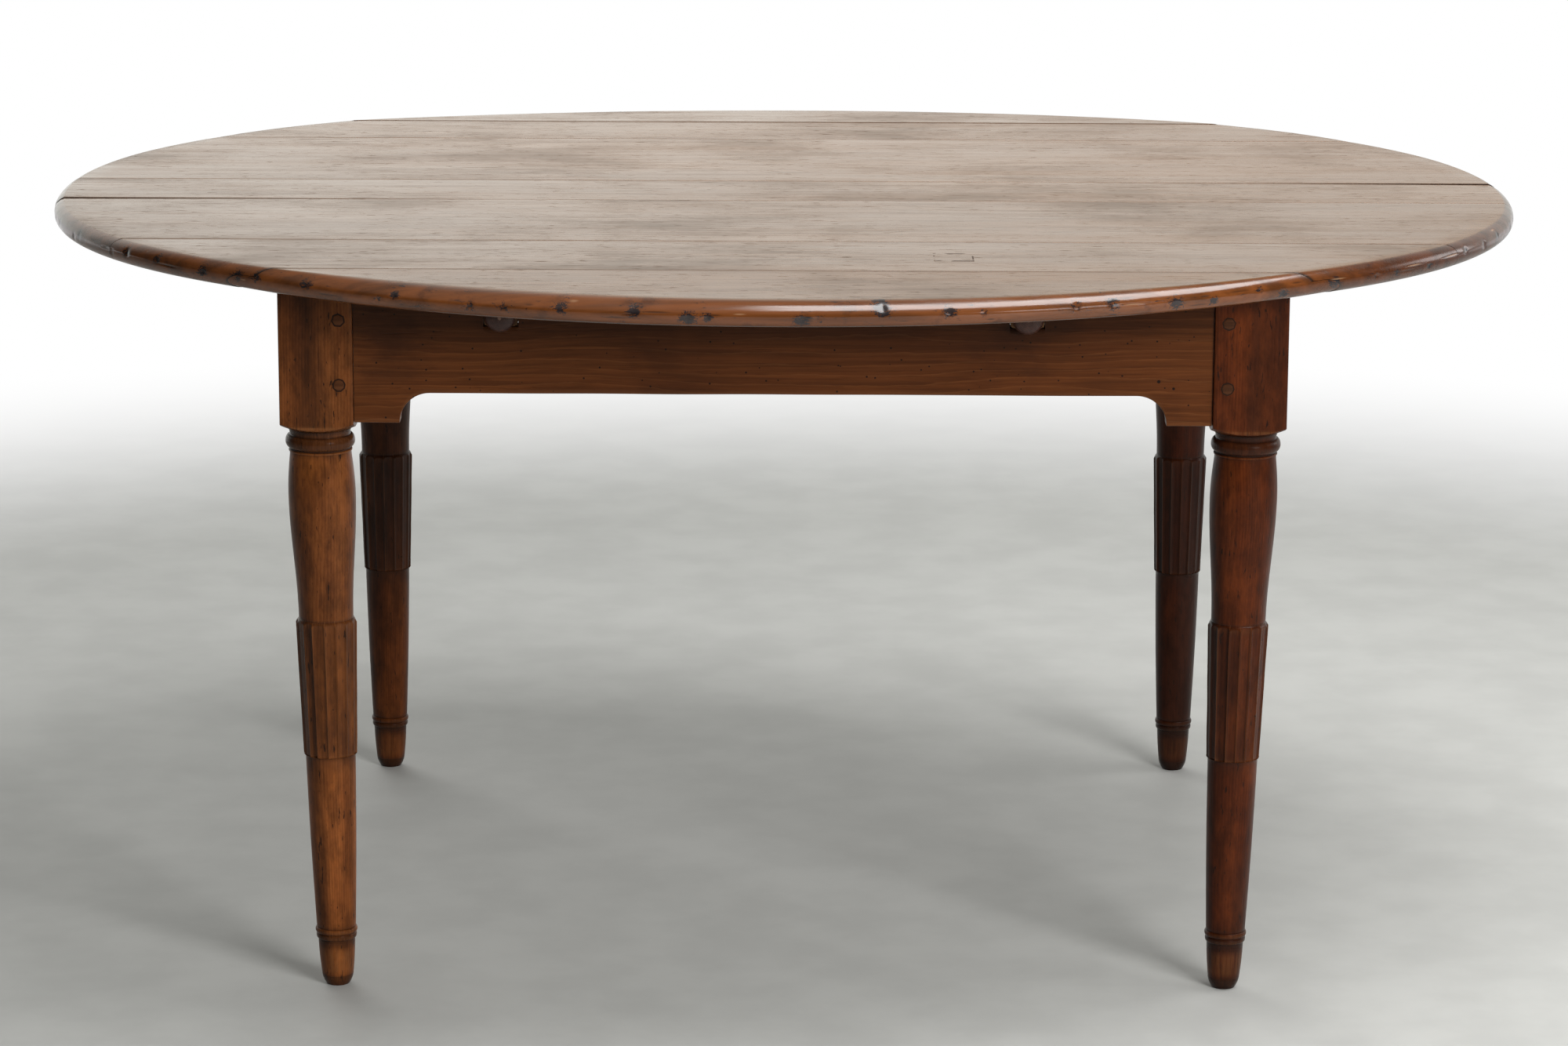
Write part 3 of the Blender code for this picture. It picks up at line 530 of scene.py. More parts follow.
def leg_profile(top, bottom):
    """Heights and turned radii from the block's top to the floor, as arcs, sines and straight tapers, with
    the collar between the given top and bottom."""
    slope = np.linspace(0, 1, 18)
    bow = np.linspace(np.pi / 2, -np.pi / 2, 15)
    rise = np.linspace(0, 1, 12)
    fall = np.linspace(0, 1, 44)
    taper = np.linspace(0, 1, 48)
    heights, radii = [], []
    heights += [np.linspace(BLOCK_TOP, 0.5885, 34), 0.5797 + 0.0083 * slope[::-1]]
    radii += [np.full(34, 0.060), 0.0350 + 0.0175 * slope[::-1] ** 0.9]
    heights += [[0.5788, 0.5775, 0.5735], 0.565 + 0.0065 * np.sin(bow), [0.5580, 0.5572]]
    radii += [[0.0336, 0.0312, 0.0300], 0.0304 + 0.0041 * np.cos(bow), [0.0301, 0.0301]]
    heights += [0.5557 + 0.0013 * np.sin(bow[::2]), 0.554 - 0.044 * rise[1:]]
    radii += [0.0304 + 0.0012 * np.cos(bow[::2]), 0.0303 + 0.0031 * np.sin(rise[1:] * np.pi / 2)]
    heights += [0.510 - (0.504 - top) * fall[1:]]
    radii += [0.0272 + 0.0062 * (1 + np.cos(fall[1:] * np.pi)) / 2]
    heights += [top + 0.006 - 0.006 * rise[1:], top - (top - bottom) * taper[1:]]
    heights += [[bottom - 0.0001, bottom - 0.0006], bottom - 0.001 - (bottom - 0.0622) * taper]
    radii += [0.0274 + 0.0031 * np.sin(rise[1:] * np.pi / 2), 0.0305 - 0.0037 * taper[1:], [0.0266, 0.0252]]
    heights += [0.0578 + 0.0029 * np.sin(bow), 0.0520 + 0.0029 * np.sin(bow)]
    radii += [0.0250 - 0.0053 * taper + 0.0006 * np.sin(np.pi * taper), 0.0194 + 0.0018 * np.cos(bow)]
    radii += [0.0192 + 0.0012 * np.cos(bow)]
    heights += [0.0488 - 0.0368 * rise, 0.012 - 0.012 * rise[1:]]
    radii += [0.0186 - 0.0026 * rise + 0.0004 * np.sin(np.pi * rise), 0.0160 - 0.0043 * rise[1:] ** 1.8]
    return np.concatenate(heights), np.concatenate(radii)


profiles = {end: leg_profile(*collar) for end, collar in COLLAR.items()}
print("leg profile:", len(profiles["front"][0]), "rings, collars", COLLAR)

# %% Carve a leg from square, lathe and flutes
LEG_COLUMNS = 240
FLUTES = 16
FLUTE_DEPTH = 0.0019
BLOCK_CORNER = 0.042
BLOCK_SQUARENESS = 44
LEG_LEAN = {"front": math.radians(0.9), "back": math.radians(0.2)}


def squared(angle, power):
    """Radius of a squared circle: (|cos|^n + |sin|^n)^(-1 / n)."""
    return (np.abs(np.cos(angle)) ** power + np.abs(np.sin(angle)) ** power) ** (-1 / power)


def flute_cut(angle, seed):
    """Depth of the flutes: d (1 - w^4) across each flute, w from -1 to 1 between its two ridges."""
    uneven = 0.10 * sway(angle, seed, 3, 9)
    place = angle * FLUTES / (2 * np.pi) + uneven
    across = 2 * (place % 1) - 1
    depth = FLUTE_DEPTH * (1 + 0.25 * np.sin(np.floor(place) * 2.4 + seed))
    return depth * (1 - across ** 4), np.abs(across)


def leg_marks(leg_height, leg_radius):
    """Dirt in hollows and wear on edges, from how far the profile lies inside or outside its own mean."""
    order = np.argsort(leg_height)
    even = np.linspace(0, BLOCK_TOP, 1500)
    inside = np.minimum(leg_radius, BLOCK_CORNER)
    profile = np.interp(even, leg_height[order], inside[order])
    window = np.hanning(25) / np.hanning(25).sum()
    padded = np.pad(profile, 12, mode="edge")
    mean = np.interp(leg_height, even, np.convolve(padded, window, mode="valid"))
    hollow = (mean - inside) / 0.0012
    return np.clip(hollow, 0, 1)[:, None], np.clip(-hollow, 0, 1)[:, None]


def make_leg(end, side, out_x, out_y, seed):
    """One leg, its turned part leaning in by a share of the drop below the block."""
    angle = full_turn(LEG_COLUMNS)[None, :]
    leg_height, leg_radius = profiles[end]
    top, bottom = COLLAR[end]
    height = leg_height[:, None]
    worn = 0.0002 * (1 + sway(angle * 2 + height * 15, seed, 1, 4))
    square = (BLOCK_HALF - worn) * squared(angle, BLOCK_SQUARENESS)
    cut, across = flute_cut(angle, seed)
    line = 0.0268 + 0.0037 * (height - bottom) / (top - bottom)
    collar = (height < top + 0.0061) & (height > bottom - 0.00005)
    fluted = np.where(collar, line - cut + 0.0002 * sway(height * 60 + angle, seed, 1, 3), 1)
    radius = np.minimum(np.minimum(square, leg_radius[:, None]), fluted)
    lean = math.tan(LEG_LEAN[end]) * np.maximum(BLOCK_BOTTOM - height, 0)
    x = out_x * LEG_X + radius * np.cos(angle) - out_x * lean
    y = out_y * LEG_Y + radius * np.sin(angle)
    dirt, wear = leg_marks(leg_height, leg_radius)
    ringed = np.clip(np.minimum(height - 0.5562, 0.5800 - height) / 0.001, 0, 1)
    dirt = np.maximum(dirt, 0.66 * ringed)
    level = radius * np.cos(angle) / BLOCK_HALF
    band = np.exp(-((level + 0.12) / 0.36) ** 2) * (height > BLOCK_BOTTOM + 0.004) * float(out_x < 0)
    smear = np.clip(1 - np.abs(bottom - 0.002 - height) / 0.016, 0, 1) * (height < bottom)
    ankle = np.exp(-((height - 0.049) / 0.009) ** 2)
    tip = np.clip((0.013 - height) / 0.003, 0, 1)
    grime = np.maximum(np.maximum(0.50 * band, 0.45 * smear), np.maximum(0.92 * ankle, 0.9 * tip))
    dirt = np.maximum(dirt, np.maximum(grime, 0.40 * collar))
    wear = np.maximum(wear, 0.7 * np.clip(np.minimum(height - 0.012, 0.042 - height) / 0.006, 0, 1))
    ridge = np.where(collar, np.clip((across - 0.88) / 0.12, 0, 1), 0)
    groove = np.where(collar, np.clip(1 - np.abs(across - 0.80) / 0.10, 0, 1), 0)
    shown = (1 - 0.7 * ringed) * (1 - 0.45 * (out_x > 0)) * (1 - 0.6 * (out_y > 0))
    marks = {
        "dirt": np.maximum(dirt, 0.85 * groove),
        "wear": np.maximum(wear, ridge) * shown,
        "shift": seed * 0.71,
        "rosy": float(out_x > 0),
        # Painted shade: the back legs are marked to be painted darker, standing for the table's shade on
        # them.
        "back_shade": float(out_y > 0),
        # Painted light: the lower part of the left legs is marked to be painted lighter, as if more light
        # fell there.
        "wear_and_painted_light": np.clip((0.30 - height) / 0.14, 0, 1) * float(out_x < 0),
    }
    leg = loft(f"turned_leg_{end}_{side}", np.stack([x, y, np.broadcast_to(height, x.shape)], axis=-1), marks)
    stand_for(leg, "frame", "leg_wood", f"leg_{end}_{side}")
    return leg


leg_pieces = []
for end, out_y in (("front", -1), ("back", 1)):
    for side, out_x in (("left", -1), ("right", 1)):
        leg_pieces.append(make_leg(end, side, out_x, out_y, 21 + len(leg_pieces)))
tell("legs and their faces:", leg_pieces)

# %% [markdown]
# ## The aprons and the middle rail
# The aprons are planks with a coved bracket at each end and a notch in the top edge for every slide. A flat
# outline with thickness would have knife-sharp edges. We carry a rounded cross section along the plank and
# let its lower and upper edge be functions of the length, so bracket, cove and notch are steps in two curves.

# %% Make the aprons and the rail
PLANK_TOP = 0.7257
NOTCH_DEPTH = 0.0401
NOTCH_HALF = 0.0172
BRACKET_DROP = 0.030
BRACKET_FLAT = 0.0445
SOFT_EDGE = 0.0016
PLANK_STEP = 0.005
SLIP = 0.00001
APRON_DEPTH = 0.107
APRON_HALF = 0.012
RAIL_DEPTH = 0.0721
RAIL_HALF = 0.0125


def plank_section(half):
    """Across place, share of the height and fixed lift of each point of a plank's loop, with soft arrises."""
    soft = SOFT_EDGE
    down = np.linspace(0.97, 0.05, 18)
    up = np.linspace(0.05, 0.97, 8)
    across = [[-half + soft * 0.4], np.full(18, -half), [-half, -half + 0.3 * soft, -half + soft]]
    across += [[half - soft, half - 0.3 * soft, half], np.full(8, half), [half - soft * 0.4]]
    share = [[1], down, np.zeros(6), up, [1]]
    lift = [[0], np.zeros(18), [soft, 0.3 * soft, 0, 0, 0.3 * soft, soft], np.zeros(8), [0]]
    return np.concatenate(across), np.concatenate(share), np.concatenate(lift)


def plank_edges(half, depth, notches, bracket):
    """Length places of a plank, its lower edge, which is a flat bracket, a quarter-circle cove and a straight
    middle, and its upper edge with the notches."""
    place = [np.arange(-half, half, PLANK_STEP), [half]]
    inner = half - BRACKET_FLAT
    cove = inner - bracket + bracket * np.cos(np.linspace(0.003, np.pi / 2, 16))
    place += [cove, -cove, [inner + SLIP, -inner - SLIP]]
    for middle in notches:
        place += [middle + edge * NOTCH_HALF + slip for edge in (-1, 1) for slip in (-SLIP, SLIP)]
    place = np.unique(np.concatenate([np.atleast_1d(part) for part in place]))
    past = np.clip(np.abs(place) - (inner - bracket), 0, bracket)
    curve = np.sqrt(np.maximum(bracket ** 2 - past ** 2, 0))
    lower = -depth - bracket + np.where(np.abs(place) > inner, 0, curve)
    upper = np.zeros_like(place)
    for middle in notches:
        upper = np.where(np.abs(place - middle) < NOTCH_HALF, -NOTCH_DEPTH, upper)
    return place, lower, upper


def make_plank(name, half, depth, half_thickness, notches, bracket, centre, along, seed):
    """A plank centred on a place, lying along X or Y, its faces swaying a little as hand-planed wood does."""
    place, lower, upper = plank_edges(half, depth, notches, bracket)
    across, share, lift = plank_section(half_thickness)
    rise = (lower + 0.0003 * sway(place, seed, 10, 60))[:, None]
    z = PLANK_TOP + rise + share * (upper[:, None] - rise) + lift
    planed = 1 - 0.03 * (1 + sway(place[:, None] * 4, seed + 1, 1, 5)) / 2
    over = across * planed
    run = np.broadcast_to(place[:, None], z.shape)
    x, y = (run, over) if along == "X" else (-over, run)
    low_edge = np.clip(1 - (z - PLANK_TOP - rise) / 0.004, 0, 1)
    marks = {"wear": low_edge, "shift": seed * 0.29}
    return loft(name, np.stack([centre[0] + x, centre[1] + y, z], axis=-1), marks)


aprons = (
    ("front", "X", 0.42195, (0, -0.41975), (-0.277, 0.239), 30),
    ("back", "X", 0.42195, (0, 0.41975), (-0.239, 0.277), 32),
    ("left", "Y", 0.36195, (-0.47975, 0), (), 34),
    ("right", "Y", 0.36195, (0.47975, 0), (), 36),
)
apron_pieces, cross_pieces = [], []
for name, along, half, centre, notches, seed in aprons:
    plank_size = half, APRON_DEPTH, APRON_HALF
    plank = make_plank(f"{name}_plank", *plank_size, notches, BRACKET_DROP, centre, along, seed)
    stand_for(plank, "frame", "apron_wood", f"{name}_apron")
    pieces = apron_pieces if along == "X" else cross_pieces
    pieces.append(plank)
rail_notches = (-0.277, -0.239, 0.239, 0.277)
rail = make_plank("cross_rail", 0.4757, RAIL_DEPTH, RAIL_HALF, rail_notches, 0.0, (0, 0), "X", 39)
stand_for(rail, "frame", "slide_wood", "middle_rail")
tell("planks and their faces:", [*apron_pieces, *cross_pieces, rail])

# %% [markdown]
# ## Round pieces: knobs and pegs
# Knobs are turned, pegs are split and whittled, but both are a radius that changes along a line. One function
# serves both: the knob keeps its radius all round, the peg's radius also changes with the angle, which
# makes its head an uneven many-sided shape.

# %% A radius carried along an axis
def turned(name, reach, radius, start, axis, shape, marks, first=(0, 0, 1)):
    """Points at start + reach along the axis + radius times shape, all round it from a first direction."""
    axis, first = np.array(axis, float), np.array(first, float)
    second = np.cross(axis, first)
    angle = full_turn(len(shape))
    ring = np.cos(angle)[:, None] * first + np.sin(angle)[:, None] * second
    points = np.array(start) + reach[:, None, None] * axis + (radius[:, None] * shape)[:, :, None] * ring
    return loft(name, points, marks)


def outward(low, high):
    """The level axis along which a node is longest, pointing away from the table's middle, and the
    middle of the node's outer face."""
    middle = (np.array(low) + np.array(high)) / 2
    size = np.array(high) - np.array(low)
    along = 0 if size[0] > size[1] else 1
    axis = np.zeros(3)
    axis[along] = np.sign(middle[along])
    return axis, middle + axis * size / 2, size[along]


print("axis of one peg:", outward(*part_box("peg_front_apron_left_upper"))[0])

# %% [markdown]
# The pegs lock the tenons in the legs. Each one stands a hair proud in a dark ring, painted shade of the gap
# round it. The ring is part of the peg's own profile, so it stays with it from every side.

# %% Make the pegs
PEG_SIDES = 40
MILLIMETRE = 0.001
peg_radius = np.array([0, 1.8, 3.5, 4.6, 5.2, 5.5, 5.6, 5.8, 6.6, 6.8, 6.8]) * MILLIMETRE
peg_sunk = np.array([0, 0.02, 0.05, 0.12, 0.24, 0.34, 0.42, 0.36, 0.33, 0.36]) * MILLIMETRE
# Painted shade: how dark the gap round the head is at each step of the profile.
peg_gap_shade = np.array([0, 0, 0, 0, 0.3, 0.8, 1, 1, 0.9, 0.8, 1])[:, None]
peg_pieces = []
peg_nodes = sorted(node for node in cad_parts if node.startswith("peg_"))
for number, node in enumerate(peg_nodes):
    luck = np.random.default_rng(100 + number)
    axis, face, length = outward(*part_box(node))
    angle = full_turn(PEG_SIDES)
    corners = luck.integers(7, 10)
    turn = (angle + luck.uniform(0, 1)) % (2 * np.pi / corners) - np.pi / corners
    shape = 0.94 / np.cos(turn) * (1 + 0.035 * sway(angle, 200 + number, 1, 3))
    dull = 0.5 if face[0] > 0 else 0.12
    # The ring mark is the painted gap shade; the right pegs' heads are also darker in their own colour.
    marks = {"ring": np.maximum(peg_gap_shade, dull), "shift": number * 0.13}
    peg = turned(f"driven_{node}", -np.append(peg_sunk, length), peg_radius, face, axis, shape, marks)
    stand_for(peg, "frame", "peg_wood", node)
    peg_pieces.append(peg)
print("pegs:", len(peg_pieces), "with", len(peg_pieces[0].data.polygons), "faces each")

# %% [markdown]
# ## The slides and their knobs
# Each slide is a plain oak bar that runs in the notches and carries a leaf when it is drawn out by its small
# turned knob. The bar is a rounded rectangle carried along its length; the knob has a base, a neck and
# a domed head with turning lines, which show as rings on its face.

# %% Make slides, knobs and stop pegs
KNOB_LENGTH = 0.023
KNOB_RADIUS = 0.0154
STOP_LENGTH = 0.047


def bar_section(half_width, half_height):
    """A rounded rectangle as a superellipse, |x/a|^12 + |z/b|^12 = 1."""
    angle = full_turn(48)
    size = squared(angle, 12)
    return half_width * size * np.cos(angle), half_height * size * np.sin(angle)


def make_slide(place, seed):
    """A bar along Y through the box of its CAD node, its ends drawn in by soft edges."""
    low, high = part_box(f"slide_{place}")
    across, up = bar_section((high.x - low.x) / 2, (high.z - low.z) / 2)
    along = np.linspace(low.y, high.y, 70)
    soft = np.array([0, 0.0005, 0.0015])
    y = np.unique(np.concatenate([along, low.y + soft, high.y - soft]))[:, None]
    near = np.minimum(y - low.y, high.y - y)
    shrink = 1 - 0.05 * np.clip(1 - near / 0.0015, 0, 1) ** 2 - 0.004 * (1 + sway(y, seed, 10, 40))
    x = (low.x + high.x) / 2 + across * shrink
    z = (low.z + high.z) / 2 + up * shrink
    points = np.stack([x, np.broadcast_to(y, x.shape), z], axis=-1)
    slide = loft(f"draw_slide_{place}", points, {"shift": seed * 0.41})
    stand_for(slide, f"slide_{place}_body", "slide_wood", f"slide_{place}")
    return slide


def knob_profile(length):
    """Reach from the face inwards and radius: dome, rolled edge, neck, base, then the hidden spigot."""
    dome = np.linspace(0, np.pi / 2, 22)
    roll = np.linspace(0, 1, 12)
    reach = [0.40 * (1 - np.cos(dome)) ** 1.15, 0.40 + 0.26 * roll[1:], 0.66 + 0.16 * roll[1:]]
    radius = [KNOB_RADIUS * np.sin(dome) ** 0.8, 0.0085 + 0.0069 * np.cos(roll[1:] * np.pi / 2)]
    radius += [np.full(11, 0.0085)]
    reach += [[0.83, 0.86, 0.90, 0.98, 0.99], [1.0, 1.9]]
    radius += [[0.0100, 0.0118, 0.0124, 0.0122, 0.0112], [0.0054, 0.0054]]
    return -length * np.concatenate(reach), np.concatenate(radius)


slide_pieces, knob_pieces, stop_pieces = [], [], []
for number, place in enumerate(("front_left", "front_right", "back_left", "back_right")):
    slide_pieces.append(make_slide(place, 51 + number))
    low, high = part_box(f"knob_{place}")
    side = -1 if place.startswith("front") else 1
    face = ((low.x + high.x) / 2, low.y if side < 0 else high.y, (low.z + high.z) / 2)
    reach, radius = knob_profile(KNOB_LENGTH)
    lines = 1 - 0.010 * (np.sin(np.arange(len(radius)) * 2.1) > 0.4)
    marks = {"spread": (radius / KNOB_RADIUS)[:, None], "shift": number * 0.61}
    knob = turned(f"draw_knob_{place}", reach, radius * lines, face, (0, side, 0), np.ones(56), marks)
    stand_for(knob, f"slide_{place}_body", "knob_wood", f"knob_{place}")
    knob_pieces.append(knob)
    low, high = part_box(f"stop_peg_{place}")
    shape = 0.95 + 0.05 * sway(full_turn(24), 71 + number, 1, 4)
    reach = np.array([0, 0.0004, 0.0012, 0.02, 0.044, 0.0464, STOP_LENGTH]) * (high.z - low.z) / STOP_LENGTH
    radius = np.array([0.0026, 0.0036, 0.0040, 0.0040, 0.0040, 0.0034, 0.0026])
    start = ((low.x + high.x) / 2, (low.y + high.y) / 2, low.z)
    marks = {"ring": 0.0, "shift": number * 0.2}
    stop = turned(f"stop_dowel_{place}", reach, radius, start, (0, 0, 1), shape, marks, first=(1, 0, 0))
    stand_for(stop, f"slide_{place}_body", "peg_wood", f"stop_peg_{place}")
    stop_pieces.append(stop)
print("slides:", len(slide_pieces), "knobs:", len(knob_pieces), "stops:", len(stop_pieces))

# %% [markdown]
# ## Nodes in a few words
# A material is a tree of nodes, and wiring it by hand takes many lines. These helpers add nodes to the tree
# that was opened last and return an output, so a finish below reads like a recipe. A value may be a number
# or another node's output.

# %% Node helpers
bench = {}


def open_tree(tree):
    """Empties a tree and makes it the one that the helpers add their nodes to."""
    tree.nodes.clear()
    bench["tree"] = tree


def new_finish(name):
    finish = bpy.data.materials.new(name)
    finish.use_nodes = True
    open_tree(finish.node_tree)
    return finish


def put(kind, inputs, **settings):
    """Adds a node, sets its options, and sets or links its inputs."""
    node = bench["tree"].nodes.new(kind)
    for key, value in settings.items():
        setattr(node, key, value)
    for key, value in inputs.items():
        if isinstance(value, bpy.types.NodeSocket):
            bench["tree"].links.new(value, node.inputs[key])
        else:
            node.inputs[key].default_value = value
    return node


def count(operation, first, second=0.0):
    return put("ShaderNodeMath", {0: first, 1: second}, operation=operation).outputs[0]


def times(first, second):
    return count("MULTIPLY", first, second)


def plus(first, *others):
    for other in others:
        first = count("ADD", first, other)
    return first


def less(first, second):
    return count("SUBTRACT", first, second)


def most(first, *others):
    for other in others:
        first = count("MAXIMUM", first, other)
    return first


def vector(operation, first, second=(0, 0, 0)):
    return put("ShaderNodeVectorMath", {0: first, 1: second}, operation=operation).outputs


def blend(share, first, second, way="MIX"):
    return put("ShaderNodeMix", {0: share, 6: first, 7: second}, data_type="RGBA", blend_type=way).outputs[2]


def tinted(colour, tint):
    return blend(1.0, colour, tint, "MULTIPLY")


def toned(colour, share, tint):
    """A colour that takes on a tint where the share is high."""
    return blend(share, colour, tinted(colour, tint))


def wash(colour, share, strength, second):
    """A second colour over a first, where the share is high and no stronger than the strength."""
    return blend(times(share, strength), colour, second)


def painted(label):
    return put("ShaderNodeAttribute", {}, attribute_name=label).outputs["Fac"]


def here():
    return put("ShaderNodeTexCoord", {}).outputs["Object"]


def axes(place):
    return put("ShaderNodeSeparateXYZ", {0: place}).outputs


def between(value, low, high, start=0.0, end=1.0):
    """Smooth step of a value from start at low to end at high."""
    inputs = {0: value, 1: low, 2: high, 3: start, 4: end}
    return put("ShaderNodeMapRange", inputs, interpolation_type="SMOOTHSTEP").outputs[0]


def stretched(place, scale, shift=(0, 0, 0)):
    return put("ShaderNodeMapping", {0: place, 1: shift, 3: scale}).outputs[0]


def cloud(place, scale, detail=3.0, roughness=0.55, bend=0.0):
    inputs = {"Vector": place, "Scale": scale, "Detail": detail, "Roughness": roughness, "Distortion": bend}
    return put("ShaderNodeTexNoise", inputs).outputs[0]


def drawn(place, scale, *looks, shift=(0, 0, 0)):
    """A cloud with its own scale along each axis."""
    return cloud(stretched(place, scale, shift), 1.0, *looks)


def rgb(red, green, blue):
    return (red, green, blue, 1.0)


print("node helpers ready")

# %% [markdown]
# ## Old waxed wood
# The wood is waxed walnut: long streaks, growth rings, dark pores, rubbed blotches and worm holes. A flat
# picture wrapped round a piece would stretch and show seams. Instead the pattern is solid: it fills space,
# long along the grain and fine across it, so end and side of a board agree as in real timber.

# %% The grain that all the wood shares
def grain_place(along):
    """Object coordinates with the grain as the first axis, moved apart for each piece."""
    place = here()
    parts = axes(place)
    order = {"X": (0, 1, 2), "Y": (1, 0, 2), "Z": (2, 0, 1)}[along]
    grain_first = {number: parts[axis] for number, axis in enumerate(order)}
    turned_place = put("ShaderNodeCombineXYZ", grain_first).outputs[0]
    apart = painted("shift")
    moved = put("ShaderNodeCombineXYZ", {0: apart, 1: apart, 2: times(apart, 0.37)}).outputs[0]
    return vector("ADD", turned_place, moved)[0]


def grain(along, ring_scale):
    """Streaks, rings, fibres, pores, blotches and worm holes, each from 0 to 1, in one dictionary."""
    place = grain_place(along)
    bend = put("ShaderNodeTexNoise", {"Vector": stretched(place, (2.2, 9, 9)), "Scale": 1.0, "Detail": 2.0})
    warp = vector("MULTIPLY", bend.outputs["Color"], (0.0, 0.03, 0.03))[0]
    bent = vector("ADD", place, warp)[0]
    ring_inputs = {"Vector": stretched(bent, (0.2, 1, 1), (0, 0.31, 0.12)), "Scale": ring_scale}
    ring_inputs.update({"Distortion": 1.2, "Detail": 2.0, "Detail Scale": 3.0})
    rings = put("ShaderNodeTexWave", ring_inputs, wave_type="RINGS", rings_direction="X", wave_profile="SAW")
    pore = drawn(bent, (30, 560, 560), 1.0)
    worm = put("ShaderNodeTexVoronoi", {"Vector": place, "Scale": 42.0, "Randomness": 1.0})
    chosen = between(cloud(place, 17.0, 1.0), 0.56, 0.60)
    return {
        "place": place,
        "streak": cloud(stretched(place, (1.0, 9.0, 9.0)), 1.3, 5.0, 0.6, 0.3),
        "rings": rings.outputs["Fac"],
        "fibre": drawn(bent, (6, 330, 330), 3.0, 0.65),
        "band": drawn(bent, (2.2, 55, 55), 4.0, 0.6),
        "pore": between(pore, 0.63, 0.74),
        "blotch": drawn(place, (3.2, 7, 7), 4.0, 0.6, 0.4),
        "hole": times(between(worm.outputs["Distance"], 0.045, 0.030), chosen),
    }


def wood_colour(wood, dark, middle, light, fine):
    """Dark to light by streaks, bands and rings, with pores and fibres, as strong as fine, drawn into it."""
    tone = plus(times(wood["streak"], 0.55), times(wood["band"], 0.35), times(wood["rings"], 0.10))
    ramp = put("ShaderNodeValToRGB", {0: tone})
    ramp.color_ramp.elements[0].position, ramp.color_ramp.elements[0].color = 0.26, dark
    ramp.color_ramp.elements[1].position, ramp.color_ramp.elements[1].color = 0.76, light
    ramp.color_ramp.elements.new(0.50).color = middle
    fibre = between(wood["fibre"], 0.28, 0.72, 1 - fine, 1 + fine)
    shaded = tinted(ramp.outputs[0], fibre)
    return blend(times(wood["pore"], 0.45), shaded, dark)


print("grain recipe ready")

# %% [markdown]
# Wax makes old wood glossy where hands polish it and dull in the hollows. The shader needs a roughness that
# follows the wear and a fine bump from fibres, pores and holes, on top of the dents that are in the mesh.

# %% Finish a wood shader
def new_wood(name, along, ring_scale, tones, fine=0.23):
    """A new finish, its grain, and the colour of its bare wood in a dark, a middle and a light tone."""
    finish = new_finish(name)
    wood = grain(along, ring_scale)
    return finish, wood, wood_colour(wood, *tones, fine)


def polish(wood, handled_and_knob_shadow, dry):
    """Roughness that follows the blotches, from handled wood to dry wood."""
    return between(wood["blotch"], 0.3, 0.7, handled_and_knob_shadow, dry)


def surface(finish, relief, depth, bite, inputs):
    """Ends a finish with a Principled shader, whose bump comes from a relief and is as strong as its bite."""
    bump = put("ShaderNodeBump", {"Height": relief, "Distance": depth, "Strength": bite})
    shader = put("ShaderNodeBsdfPrincipled", {**inputs, "Normal": bump.outputs[0]})
    put("ShaderNodeOutputMaterial", {"Surface": shader.outputs[0]})
    return finish


def wood_shader(finish, wood, colour, roughness, gloss, bite=0.5):
    """Waxed wood with its fibres up and its pores and worm holes down, and a mirror part set by its gloss,
    0.5 being that of glass."""
    sunk = plus(times(wood["pore"], 0.4), wood["hole"])
    relief = less(times(wood["fibre"], 0.35), sunk)
    inputs = {"Base Color": colour, "Roughness": roughness, "Specular IOR Level": gloss}
    return surface(finish, relief, 0.0005, bite, inputs)


def dress(pieces, finish):
    for piece in pieces:
        piece.data.materials.append(finish)
    print(finish.name, "on", len(pieces), "pieces")


print("wood shader ready")

# %% [markdown]
# ## Legs and aprons
# The legs are a warm red-brown with paler worn ridges and dark wax in the hollows; the right ones are redder.
# The aprons show fine pale growth lines and tiny worm holes. Both use the shared grain with colours of their
# own.

